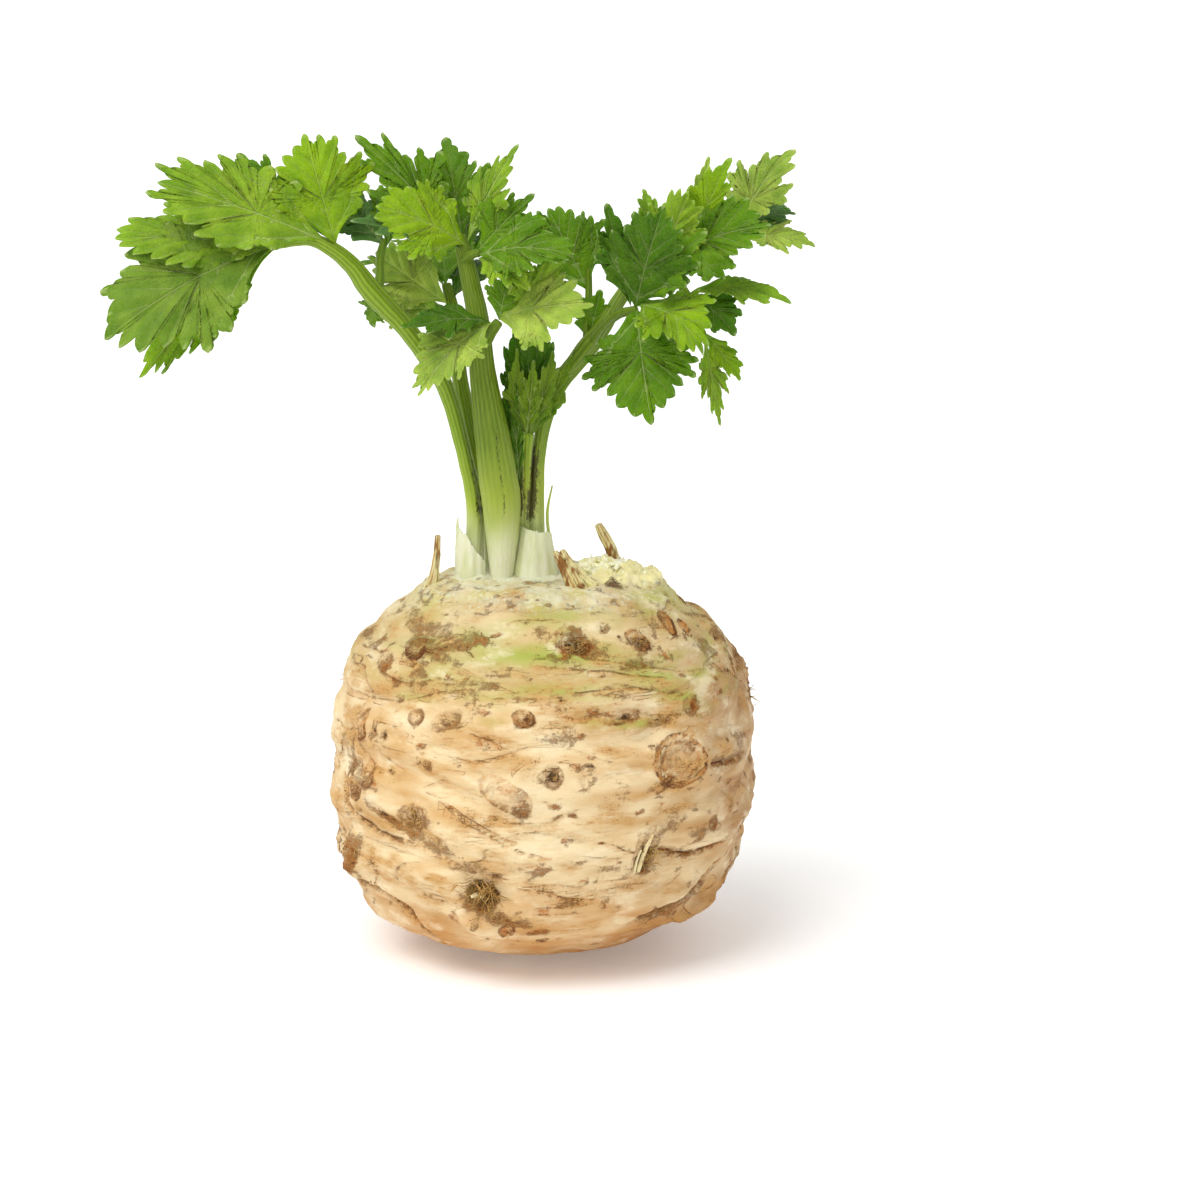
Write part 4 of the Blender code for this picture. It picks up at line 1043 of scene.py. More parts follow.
CRUST_Z, CRUST_EDGE, CRUST_CELL, CRUST_RELIEF = 96, (46, 33), 3.4, 0.6
COLLAR_RELIEF, COLLAR_WIDTH = 1.5, 3.2
TORN_SPOT, TORN_REACH, TORN_RELIEF = np.array((23.0, 0.0, 112.0)), np.array((13.0, 14.0, 7.0)), 3.0
ROTTEN_SPOT, ROTTEN_RADIUS = np.array((22.0, -15.0, 112.0)), 3.4
CRUST_FUZZ, COLLAR_FUZZ = 0.42, 0.58

# Where the skin's colours begin and are full, in millimetres of height, degrees round it, and
# millimetres out from the middle.
STAINED_LOW, DIRTY_FROM, SHOULDER, GREENED_FROM = (40, 4), (80, 94), (82, 97), (80, 90)
SHADED_FROM, SHADED_TO, GREENED_SIDE = (12, 66), (200, 120), 26
CROWN_EDGE, CROWN_FROM_Z = (44, 30), 98


def stem_gap(points):
    """How far each point of the crown is from the nearest stalk's or sheath's foot."""
    feet = [(x, y, radius) for (x, y, _, radius), *_ in (stem.stalk for stem in STEMS.values())]
    feet += [(sheath.x, sheath.y, sheath.radius) for sheath in SHEATHS.values()]
    gaps = [np.hypot(points[:, 0] - x, points[:, 1] - y) - radius for x, y, radius in feet]
    return np.maximum(np.min(gaps, axis=0), 0)


def surface_frame(azimuth, z):
    """A point of the plain turned body with its directions round it and up it."""
    radius, heights = smooth_curve(ROOT_SIDE, PROFILE_STEPS).T
    turn = math.radians(azimuth)
    lean = np.interp(z + 1, heights, radius) - np.interp(z - 1, heights, radius)
    outward = np.array([math.sin(turn), -math.cos(turn), 0])
    up = outward * lean + np.array([0, 0, 2.0])
    around = np.array([math.cos(turn), math.sin(turn), 0])
    return spot_on_root(azimuth, z), around, up / np.linalg.norm(up)


def hidden_scars():
    """Marks for the root's sides and back, with small specks all over it."""
    chance = np.random.default_rng(7)
    found = []
    for _ in range(HIDDEN_SCARS):
        kind = SCAR_KINDS[chance.integers(len(SCAR_KINDS))]
        size = chance.uniform(0.65, 1.15)
        found.append(
            kind._replace(
                azimuth=chance.uniform(HIDDEN_FROM, HIDDEN_TO),
                z=chance.uniform(14, 106),
                across=kind.across * size,
                up=kind.up * size * chance.uniform(0.8, 1.2),
                tilt=chance.uniform(-30, 30),
            )
        )
    for _ in range(SPECKS):
        size = chance.uniform(0.5, 1.5)
        reddish = chance.uniform() < REDDISH_SHARE
        found.append(
            Scar(
                chance.uniform(-180, 180),
                chance.uniform(8, 110),
                size * chance.uniform(1, 2),
                size,
                chance.uniform(-20, 20),
                sink=0.25 * size,
                brown=0.6,
                rust=0.9 if reddish else 0.0,
                dark=0.2 if reddish else chance.uniform(0.2, 0.9),
            )
        )
    return found


def crease_points(crease):
    """The crease's points on the plain turned body, close together."""
    azimuth, z = smooth_curve(crease.path, 10).T
    return np.array([spot_on_root(a, h) for a, h in zip(azimuth, z)])


def measured_from(points, path, outward):
    """Each point's signed distance to a path on the skin, and how far along it lies."""
    nearest = np.full(len(points), np.inf)
    side, along = np.zeros(len(points)), np.zeros(len(points))
    for index, (start, end) in enumerate(zip(path[:-1], path[1:])):
        run = end - start
        share = np.clip((points - start) @ run / (run @ run), 0, 1)
        off = points - start - share[:, None] * run
        gap = np.linalg.norm(off, axis=1)
        closer = gap < nearest
        turned = np.cross(np.broadcast_to(run, off.shape), off)
        sign = np.sign(np.einsum("ij,ij->i", turned, outward))
        nearest = np.where(closer, gap, nearest)
        side = np.where(closer, sign, side)
        along = np.where(closer, (index + share) / (len(path) - 1), along)
    return nearest * side, along


class Skin:
    """What the root's skin gathers at each point: relief in millimetres, colour and marks."""

    def __init__(self, points, azimuth, outward, rows):
        self.points, self.azimuth, self.outward, self.rows = points, azimuth, outward, rows
        count = len(points)
        self.relief, self.marks = np.zeros(count), np.zeros((count, 3))
        self.strength, self.rusty = np.zeros(count), np.zeros(count)
        self.aside = np.full(count, NO_LINE)
        self.wander = lattice(points, WANDER_CELL, seed=61)
        self.ragged = cloud(points, RAGGED_CELL, seed=62, octaves=2)
        self.far = np.hypot(points[:, 0], points[:, 1])

    def mark(self, channel, amount, where=slice(None)):
        """Raises one of the three marks to an amount."""
        self.marks[where, channel] = np.maximum(self.marks[where, channel], amount)

    def draw_line(self, where, aside, strength, rusty):
        """Keeps the line that is nearest to each point."""
        fade = strength * step_between(LINE_REACH, 0.55 * LINE_REACH, np.abs(aside))
        nearer = (np.abs(aside) < np.abs(self.aside[where])) & (fade > 0.01)
        chosen = where[nearer]
        self.aside[chosen] = aside[nearer]
        self.strength[chosen] = fade[nearer]
        self.rusty[chosen] = rusty

    def add_scar(self, scar):
        spot, around, up = surface_frame(scar.azimuth, scar.z)
        away = self.points - spot
        reach = SCAR_REACH * max(scar.across, scar.up)
        where = np.flatnonzero(np.linalg.norm(away, axis=1) < reach)
        cosine, sine = math.cos(math.radians(scar.tilt)), math.sin(math.radians(scar.tilt))
        level, rise = away[where] @ around, away[where] @ up
        level, rise = level * cosine + rise * sine, rise * cosine - level * sine
        size = min(scar.across, scar.up)
        ringed = size > SMALLEST_RINGED
        wobble = ROUND_WOBBLE if size > SMALLEST_ROUND else SMALL_WOBBLE
        wander, ragged = self.wander[where], self.ragged[where]
        round_share = np.hypot(level / scar.across, rise / scar.up)
        round_share = round_share * (1 + wobble * (wander + ragged))
        share = round_share * (1 + RAGGED * ragged)
        self.relief[where] -= scar.sink * np.exp(-SCAR_FALL * share**2.6)
        self.relief[where] += scar.rim * bell(round_share - SCAR_RIM, SCAR_RIM_WIDTH)
        if scar.ring and ringed:
            waves = np.cos(2 * np.pi * round_share / RING_SPACING)
            waves = waves * step_between(*RINGS_END, round_share)
            self.relief[where] += RING_RELIEF * scar.ring * waves
        heading = np.arctan2(rise / scar.up, level / scar.across)
        # Painted shade: the marks below are deeper on the scar's side towards SHADED_SIDE.
        shaded = 0.74 + 0.36 * np.cos(heading - SHADED_SIDE)
        edge = bell(share - BROWN_EDGE, BROWN_EDGE_WIDTH)
        cover = step_between(*BROWN_REACH, share) * (0.68 + 0.32 * edge)
        stained = np.cos(heading - scar.azimuth - scar.z)
        self.mark(BROWN_MARK, scar.brown * (cover * (0.85 + 0.35 * wander)) * shaded, where)
        self.mark(DARK_MARK, scar.dark * np.exp(-DARK_FALL * share**2) * (0.7 + 0.3 * shaded), where)
        rust = scar.rust * step_between(*RUST_REACH, share) * (0.7 + 0.3 * stained)
        self.mark(RUST_MARK, rust, where)
        for ring, weight in SCAR_RINGS[: len(SCAR_RINGS) if ringed else 1] if scar.ring else ():
            aside = (round_share - ring) * size / RING_THICKNESS
            drawn = SCAR_LINE * scar.ring * weight * (0.55 + 0.45 * shaded)
            self.draw_line(where, aside, drawn, 0.3 + 0.5 * scar.rust)

    def add_crease(self, crease):
        path = crease_points(crease)
        low, high = path.min(axis=0) - CREASE_MARGIN, path.max(axis=0) + CREASE_MARGIN
        where = np.flatnonzero(((self.points > low) & (self.points < high)).all(axis=1))
        aside, along = measured_from(self.points[where], path, self.outward[where])
        aside = aside + CREASE_WANDER * self.wander[where]
        ends = step_between(0, CREASE_ENDS, along) * step_between(1, 1 - CREASE_ENDS, along)
        lips = bell(np.abs(aside) - CREASE_LIP_AT, CREASE_WIDTH)
        self.relief[where] -= crease.depth * ends * bell(aside, CREASE_WIDTH)
        self.relief[where] += CREASE_LIP * abs(crease.depth) * ends * lips
        # Painted shade: brown laid along the bottom of the furrow.
        stained = CREASE_SHADE * crease.strength * ends * bell(aside, CREASE_SHADE_WIDTH)
        self.mark(BROWN_MARK, stained, where)
        self.draw_line(where, aside, crease.strength, crease.rust)

    def add_folds(self):
        """Wavy layers of skin lying over each other, with a furrow under each one's edge."""
        bend = np.column_stack([lattice(self.points, DRIFT_CELL, seed) for seed in (31, 32, 33)])
        drifted = self.points + DRIFT * bend
        layer = FOLD_LAYERS * cloud(drifted, FOLD_CELL, seed=41, octaves=2)
        layer = layer + drifted[:, 2] / LAYER_RISE
        step = layer - np.round(layer)
        shown = step_between(*FOLDED, lattice(drifted, FOLDED_CELL, seed=51))
        eased = (np.where(step < 0, -1, 1) - 2 * step) * step_between(0, FOLD_EASE, np.abs(step))
        self.relief += FOLD_RELIEF * (0.25 + 0.75 * shown) * 0.5 * eased
        self.draw_line(np.arange(len(step)), step * FOLD_LINE, FOLD_DRAWN, FOLD_RUSTY)
        climbing = np.abs(np.gradient(layer.reshape(self.rows, -1), axis=0)).ravel()
        level = step_between(*LEVEL_FOLDS, climbing / climbing.mean())
        self.strength *= np.where(self.aside == step * FOLD_LINE, shown * level, 1)
        # Painted shade: brown laid along each fold edge where the fold shows.
        self.mark(BROWN_MARK, FOLD_SHADE * (shown * bell(step, FOLD_SHADE_WIDTH)))
        self.relief += LUMP_RELIEF * cloud(drifted, LUMP_CELL, seed=43)
        self.relief += WRINKLE_RELIEF * cloud(drifted, WRINKLE_CELL, seed=47)

    def add_crown(self):
        """The crown's crust: lumpy, flecked with brown, and torn where a stalk broke off."""
        z = self.points[:, 2]
        crust = step_between(*CRUST_EDGE, self.far) * (z > CRUST_Z)
        lumps = cloud(self.points, CRUST_CELL, seed=85, octaves=2)
        self.relief += CRUST_RELIEF * crust * lumps
        flecks = step_between(0.25, 0.75, cloud(self.points, (3.0, 3.0, 1.5), seed=86, octaves=2))
        self.mark(BROWN_MARK, crust * (0.02 + 0.5 * flecks))
        spots = step_between(0.55, 0.85, lattice(self.points, 1.7, seed=87))
        self.mark(DARK_MARK, 0.6 * crust * spots)
        dirty = step_between(-0.2, 0.8, cloud(self.points, (9.0, 9.0, 4.0), seed=89))
        dirty = step_between(*DIRTY_FROM, z) * (1 - crust) * (0.04 + 0.42 * dirty)
        self.mark(BROWN_MARK, dirty)
        self.strength *= 1 - 0.9 * crust
        collar = bell(stem_gap(self.points), COLLAR_WIDTH) * crust
        self.relief += COLLAR_RELIEF * collar * (0.7 + 0.5 * lumps)
        torn = np.linalg.norm((self.points - TORN_SPOT) / TORN_REACH, axis=1)
        self.torn = step_between(1.25, 0.7, torn + 0.25 * lumps)
        shreds = np.abs(cloud(self.points, 2.4, seed=88, octaves=2))
        self.relief += TORN_RELIEF * self.torn * (0.4 + shreds)
        self.marks *= (1 - 0.9 * self.torn)[:, None]
        rotten = bell(np.linalg.norm(self.points - ROTTEN_SPOT, axis=1), ROTTEN_RADIUS)
        self.mark(DARK_MARK, rotten)
        self.marks *= (1 - 0.7 * collar)[:, None]
        fuzzy = CRUST_FUZZ * crust + COLLAR_FUZZ * collar
        self.crust = np.column_stack([self.torn, fuzzy]) * (1 - rotten)[:, None]

    def colours(self):
        """The skin's broad colour: cream below, painted shade on the right, dirty and greened on the
        shoulder, pale on top.
        """
        z = self.points[:, 2]
        patchy = cloud(self.points, 22.0, seed=71)
        streaky = cloud(self.points, (14.0, 14.0, 4.0), seed=73)
        colour = blended(CREAM, TAN, 0.16 + 0.6 * streaky + 0.35 * patchy)
        colour = blended(colour, STAIN, step_between(*STAINED_LOW, z) * (0.72 + 0.4 * streaky))
        # Painted shade: the right side of the root is darkened towards the shaded brown.
        degrees = np.degrees(self.azimuth)
        right = step_between(*SHADED_FROM, degrees) * step_between(*SHADED_TO, degrees)
        colour = blended(colour, SHADED, right * (0.56 + 0.35 * streaky))
        shoulder = step_between(*SHOULDER, z + 6 * streaky)
        colour = blended(colour, DIRTY, shoulder * (0.6 + 0.5 * patchy))
        facing = 0.5 + 0.5 * np.cos(self.azimuth - math.radians(GREENED_SIDE))
        green = step_between(*GREENED_FROM, z + 5 * streaky) * (0.2 + 0.8 * facing**3)
        bands = cloud(self.points, (18.0, 18.0, 4.5), seed=77)
        colour = blended(colour, GREENED, green * (0.5 + 0.9 * bands))
        crown = step_between(*CROWN_EDGE, self.far + 5 * streaky) * (z > CROWN_FROM_Z)
        yellow_share = 0.3 + 0.9 * lattice(self.points, 6.0, seed=78)
        yellowish = blended(CROWN_PALE, CROWN_YELLOW, yellow_share)
        colour = blended(colour, yellowish, crown * (0.75 + 0.4 * patchy))
        return blended(colour, TORN_YELLOW, self.torn)


def make_root_skin(material):
    """The bulb, closed, with the crown that the stalks stand on."""
    side_radius, side_z = root_profile(SIDE_ROWS)
    crown_radius = np.linspace(CROWN_RADIUS, CROWN_MIDDLE_RADIUS, CROWN_ROWS + 1)[1:]
    radius = np.concatenate([side_radius, crown_radius])
    z = np.concatenate([side_z, np.full(CROWN_ROWS, CROWN_Z)])
    rows, around = len(radius), SKIN_COLUMNS
    turn, row = np.meshgrid(np.arange(around) * 2 * np.pi / around, np.arange(rows))
    turn, row = turn.ravel(), row.ravel()
    outward = np.stack([np.sin(turn), -np.cos(turn)], axis=1)
    points = np.column_stack([outward * radius[row, None], z[row]])
    slope_r, slope_z = np.gradient(radius)[row], np.gradient(z)[row]
    steep = np.hypot(slope_r, slope_z)
    normal = np.column_stack([outward * (slope_z / steep)[:, None], -slope_r / steep])
    from_end = np.minimum(row, SIDE_ROWS - 1 - row) / (SIDE_ROWS - 1)
    held = np.clip(from_end / HELD_SHARE, 0, 1)
    swell = root_relief(points, turn) * held
    wider = root_lobes(turn, points[:, 2]) * radius[row] * held
    skin = Skin(points, turn, normal, rows)
    skin.add_folds()
    for scar in (*FRONT_SCARS, *hidden_scars()):
        skin.add_scar(scar)
    for crease in CREASES:
        skin.add_crease(crease)
    skin.add_crown()
    off_floor = step_between(*FLOOR_CLEARED, points[:, 2])
    off_spot = step_between(*SPOT_CLEARED, skin.far)
    fine = skin.relief * off_floor * (SPOT_RELIEF + (1 - SPOT_RELIEF) * off_spot)
    placed = points + normal * (swell + fine)[:, None]
    placed[:, :2] += outward * wider[:, None]
    climb = points[:, 2] / CROWN_Z
    placed[:, 0] += CROWN_SHIFT_X * climb + BELLY_SHIFT_X * np.sin(np.pi * climb)

    def capped(values):
        """The values, then those of the middles of the first and the last ring."""
        return np.vstack([values, values[:around].mean(axis=0), values[-around:].mean(axis=0)])

    lines = np.column_stack([skin.aside, skin.strength, skin.rusty])
    crust = np.column_stack([skin.crust, np.zeros(len(points))])
    values = {"skin": skin.colours(), "marks": skin.marks, "lines": lines, "crust": crust}
    layers = {name: capped(own) for name, own in values.items()}
    faces = tube_faces(rows, around)
    piece("root_skin", capped(placed), faces, layers, material, "celeriac_root")


STALK_SIDES, TWIG_SIDES, THIN_SIDES = 64, 28, 16
CURVE_STEPS = 14
RIB_HEIGHT, RIB_SPACING, RIB_FOOT, FEWEST_RIBS = 0.17, 1.25, 0.6, 5
TWIG_RIBBED, STRAND_RIBBED, SLIVER_RIBBED = 0.6, 2.0, 0.4
GUTTER_DEPTH, GUTTER_WIDTH = 0.42, 0.62
STALK_HINT = (0.0, -1.0, 0.05)
WAVER, WAVER_CELL, TIP_ROUNDING = 0.12, (2.0, 2.0, 5.0), 0.4
FOOT_SINK, STRAND_GUTTERS, STUB_GUTTER = 4.0, 60, 40

# Painted shade darkens a stalk with the soil colour where it comes within the first of these millimetres
# of another stalk; the second is the width of the soil streak.
GAP_SHADE_REACH, SOIL_WIDTH = 4.0, 0.4
# A streak of soil down the front of the centre stalk, as (x, z) from top to bottom.
SOIL_STREAK = ((-10.8, 156.0), (-9.9, 148.0), (-8.6, 137.0))

# Where the stalks' colours begin and are full, in millimetres of height.
PALE_FROM, GREEN_FROM, DEEP_FROM, SHADE_FROM = (114, 138), (122, 158), (128, 175), (120, 150)
SOIL_AND_SHADE_LOW, SOIL_AND_SHADE_HIGH, DUST_LOW, DUST_HIGH = (124, 134), (184, 150), (116, 134), (195, 150)


def make_stalk(name, knots, sides, gutter, material, node, colour_of, ribbed=1.0, slot="leaf"):
    """A ribbed tube along knots with a gutter down one side and closed, rounded ends."""
    curve = smooth_curve(knots, CURVE_STEPS)
    centre, radius = curve[:, :3], curve[:, 3]
    turns = np.arange(sides) * 2 * np.pi / sides
    ribs = max(FEWEST_RIBS, round(2 * np.pi * radius.mean() / RIB_SPACING))
    away = np.abs((turns - math.radians(gutter) + np.pi) % (2 * np.pi) - np.pi)
    hollow = GUTTER_DEPTH * bell(away, GUTTER_WIDTH)
    rib = np.abs(np.cos(ribs * turns / 2)) * ribbed
    reach = radius[:, None] * (1 - hollow) + RIB_HEIGHT * (rib - RIB_FOOT)
    points, along = swept(centre, reach, turns, STALK_HINT)
    shaken = [lattice(points, WAVER_CELL, seed) for seed in (81, 82, 83)]
    points += WAVER * np.column_stack(shaken)
    points = np.vstack([points, centre[0], centre[-1] + TIP_ROUNDING * radius[-1] * along[-1]])
    ribbing = np.append(np.tile(rib, len(centre)), (0.5, 0.5))
    colours, soiled = colour_of(points, ribbing)
    layers = {"tint": colours, "detail": np.column_stack([soiled] * 3)}
    faces = [face[::-1] for face in tube_faces(len(centre), sides)]
    piece(name, points, faces, layers, material, node)


def soil_and_gap_shade(points, node):
    """How dark each point is painted: painted shade in the narrow gaps between stalks, and soil down one
    streak.
    """
    gap = np.full(len(points), GAP_SHADE_REACH)
    for other in STEMS:
        if other != node:
            for x, y, z, radius in smooth_curve(STEMS[other].stalk, CURVE_STEPS):
                gap = np.minimum(gap, np.linalg.norm(points - (x, y, z), axis=1) - radius)
    gap_shade_and_soil = step_between(GAP_SHADE_REACH, 0.2, gap)
    z = points[:, 2]
    if node == "leafy_stem_centre":
        across, height = np.array(SOIL_STREAK[::-1]).T
        beside = points[:, 0] - np.interp(z, height, across)
        gap_shade_and_soil = np.maximum(gap_shade_and_soil, 0.5 * bell(beside, SOIL_WIDTH) * (points[:, 1] < 0))
    return gap_shade_and_soil * step_between(*SOIL_AND_SHADE_LOW, z) * step_between(*SOIL_AND_SHADE_HIGH, z)


def stalk_colours(points, ribbing, node=""):
    """White at the foot, then pale yellow-green, then green; the ribs stay a little paler."""
    z = points[:, 2]
    patchy = cloud(points, (8.0, 8.0, 20.0), seed=91)
    green = step_between(*GREEN_FROM, z + 8 * patchy) * (1.0 - 0.3 * ribbing)
    colour = blended(FOOT_WHITE, STALK_PALE, step_between(*PALE_FROM, z + 4 * patchy))
    colour = blended(colour, STALK_GREEN, green)
    colour = blended(colour, STALK_DEEP, 0.6 * step_between(*DEEP_FROM, z) * (1 - ribbing))
    soiled = 0.38 * step_between(*DUST_LOW, z) * step_between(*DUST_HIGH, z)
    if not node:
        return colour, soiled
    shade = 1 + (STEM_LOOKS[node].shade - 1) * step_between(*SHADE_FROM, z)
    # The second number holds dust, the soil streak and the painted shade in the gaps between stalks.
    return colour * shade[:, None], soiled + 0.5 * soil_and_gap_shade(points, node)


def stub_colours(points, ribbing):
    """Cream fibre with a little stain."""
    patchy = cloud(points, (2.0, 2.0, 6.0), seed=99)
    return blended(STUB_PALE, STAIN, 0.1 + 0.5 * patchy), np.full(len(points), 0.25)


def withered_colours(points, ribbing):
    """Brown and corky, with yellow-green fibres that were peeled bare."""
    patchy = cloud(points, (2.2, 2.2, 9.0), seed=95)
    corky = step_between(0.1, 0.5, cloud(points, (2.0, 2.0, 9.0), seed=96))
    rotten = step_between(0.35, 0.8, cloud(points, (1.2, 1.2, 5.0), seed=94))
    colour = blended(WITHERED, WITHERED_FIBRE, 0.55 + 1.1 * patchy + 0.7 * (ribbing - 0.5))
    colour = blended(blended(colour, BROWN, corky), DARK, 0.6 * rotten)
    return colour, np.full(len(points), 0.42)


EDGE_STEPS, BLADE_RINGS, RING_CROWDING = 6, 11, 0.85
TOOTH_BULGE, LONG_SIDE, EDGE_WAVER, TOOTH_TIP = 0.12, 0.13, 0.05, 0.8
DEEP_SHARE, SINUS_SHARE, TIP_SHARE = 0.76, 0.95, 1.03
WEDGE_POINTS, BASE_POINTS = 2, 2
BLADE_MIDDLE_THICKNESS, BLADE_RIM_THICKNESS = 0.5, 0.22
RUFFLE, RUFFLE_WAVES, WIDEST_SPREAD = 1.3, (3, 5, 8), 1.15
VEIN_RELIEF, VEIN_WIDTH, VEIN_TAPER = 0.3, 0.6, 0.65
# How far a vein is drawn, in its own widths, and where all veins end, as a share outwards.
VEIN_REACH, VEINS_END = (3.2, 1.8), (1.05, 0.8)
QUILT_RELIEF, QUILT_WIDTH = 0.3, 1.6
PUCKER, PUCKER_WIDTH = 1.8, 4.2
EDGE_CURL, CURLS = 2.0, 2.2
SOILED_BLADES, SOILED, CLEAN, PALLOR = 0.3, 0.44, 0.2, (0.25, 0.55)


def blade_edge(outline, chance):
    """The whole edge of a blade from its base round its tip, with rounded teeth."""
    right = np.array(outline.half)
    rough = np.vstack([right, right[-2:0:-1] * (-1, 1)])
    middle = np.array((0.0, outline.middle))
    count = len(rough)
    stretch = 1 + EDGE_WAVER * chance.standard_normal(count)
    reach = np.linalg.norm(rough - middle, axis=1)
    before, after = np.roll(reach, 1), np.roll(reach, -1)
    sinus = reach < np.minimum(before, after)
    sinus[: BASE_POINTS + 1] = sinus[-BASE_POINTS:] = False
    stretch[sinus] *= np.where(reach < 0.6 * reach.max(), DEEP_SHARE, SINUS_SHARE)[sinus]
    stretch[reach > np.maximum(before, after)] *= TIP_SHARE
    stretch[0] = 1
    rough = middle + (rough - middle) * stretch[:, None]
    edge, tips = [], np.zeros(count * EDGE_STEPS)
    for k in range(count):
        start, end = rough[k], rough[(k + 1) % count]
        run = end - start
        outward = np.array((run[1], -run[0]))
        outward *= np.sign(outward @ ((start + end) / 2 - middle)) or 1
        in_wedge = min(k, count - 1 - k) < WEDGE_POINTS
        bulge = -TOOTH_BULGE / 3 if in_wedge else TOOTH_BULGE
        teeth = 2 if math.hypot(*run) > LONG_SIDE and not in_wedge else 1
        if k and reach[k] > max(before[k], after[k]):
            tips[k * EDGE_STEPS] = TOOTH_TIP
        for share in np.arange(EDGE_STEPS) / EDGE_STEPS:
            part = share * teeth % 1
            edge.append(start + share * run + 4 * bulge * part * (1 - part) * outward)
    return np.array(edge), middle, tips


def vein_fields(kind, flat, width, length):
    """Each point's signed distance to its nearest vein in vein widths, and in millimetres."""
    spot = flat * (width, length)
    best, aside, far = np.full(len(flat), np.inf), np.zeros(len(flat)), np.zeros(len(flat))
    for mirror, (start, end, thick) in itertools.product((1, -1), VEINS[kind]):
        root = np.array(start) * (mirror * width, length)
        run = np.array(end) * (mirror * width, length) - root
        share = np.clip((spot - root) @ run / (run @ run), 0, 1)
        off = spot - root - share[:, None] * run
        gap = np.linalg.norm(off, axis=1)
        widths = gap / (thick * (1 - VEIN_TAPER * share))
        closer = widths < best
        sign = np.sign(run[0] * off[:, 1] - run[1] * off[:, 0])
        best = np.where(closer, widths, best)
        aside = np.where(closer, sign * widths, aside)
        far = np.where(closer, gap, far)
    return aside, far


def make_blade(name, leaflet, tint, material, node, chance):
    """A toothed leaflet with sunken veins above, raised ones below, and a ruffled edge."""
    edge, middle, tips = blade_edge(OUTLINES[leaflet.kind], chance)
    around = len(edge)
    shares = (np.arange(1, BLADE_RINGS + 1) / BLADE_RINGS) ** RING_CROWDING
    flat = np.vstack([middle, *(middle + share * (edge - middle) for share in shares)])
    out_share = np.concatenate([[0], np.repeat(shares, around)])
    base, length, across, along, out = leaflet_frame(leaflet)
    beside, ahead = flat[:, 0] * leaflet.width, flat[:, 1]
    aside, far = vein_fields(leaflet.kind, flat, leaflet.width, length)
    rise = 4 * leaflet.arch * ahead * (1 - ahead) + leaflet.fold * np.abs(beside)
    forward = (ahead - middle[1]) * length
    angle = np.arctan2(beside, forward)
    spread = np.hypot(beside / (0.5 * leaflet.width), forward / ((1 - middle[1]) * length))
    spread = np.minimum(spread, WIDEST_SPREAD)
    ruffled = sum(
        np.sin(waves * angle + chance.uniform(0, 6.3)) / waves for waves in RUFFLE_WAVES
    )
    rise += RUFFLE * ruffled * spread**2 * leaflet.width / 10
    rise += QUILT_RELIEF * (1 - bell(far, QUILT_WIDTH)) - VEIN_RELIEF * bell(far, VEIN_WIDTH)
    rise += PUCKER * (1 - bell(far, PUCKER_WIDTH)) * step_between(0, 0.7, spread)
    curled = np.column_stack([CURLS * angle, spread, spread * 0]) + chance.uniform(0, 90)
    rise += EDGE_CURL * lattice(curled, 1.0, seed=98) * spread**3
    centre = base + np.outer(beside, across) + np.outer(ahead * length, along) + np.outer(rise, out)
    thick = BLADE_MIDDLE_THICKNESS + (BLADE_RIM_THICKNESS - BLADE_MIDDLE_THICKNESS) * out_share
    half = np.outer(thick / 2, out)
    count = len(flat)
    rim = count - around
    faces = [(0, 1 + k, 1 + (k + 1) % around) for k in range(around)]
    faces += [face[::-1] for face in ring_faces(BLADE_RINGS, around, 1)]
    strength = step_between(*VEIN_REACH, np.abs(aside)) * step_between(*VEINS_END, out_share)
    colour = blended(tint, TINTS["dark"], 0.12 + 0.35 * cloud(centre, 9.0, seed=97))
    detail = np.column_stack([aside, strength, np.concatenate([np.zeros(rim), tips])])
    soiled = SOILED if chance.uniform() < SOILED_BLADES else CLEAN
    pallor = chance.uniform(*PALLOR)
    sides = [np.tile((under, soiled, pallor), (count, 1)) for under in (0, 1)]
    layers = {
        "tint": np.vstack([colour, colour]),
        "detail": np.vstack([detail, detail]),
        "side": np.vstack(sides),
    }
    points = np.vstack([centre + half, centre - half])
    piece(name, points, walled(faces, range(rim, count)), layers, material, node)


SHEATH_COLUMNS, SHEATH_ROWS = 90, 26
SHEATH_SINK, SHEATH_LIFT, SHEATH_THINNED = 1.5, 1.5, 0.6
SHEATH_TORN, TORN_DEGREES, SHEATH_RIPPLE, RIPPLE_DEGREES = 0.35, 4.0, 0.12, 5.0
SHEATH_WAVER, SHEATH_WAVER_CELL = 0.15, 3.0


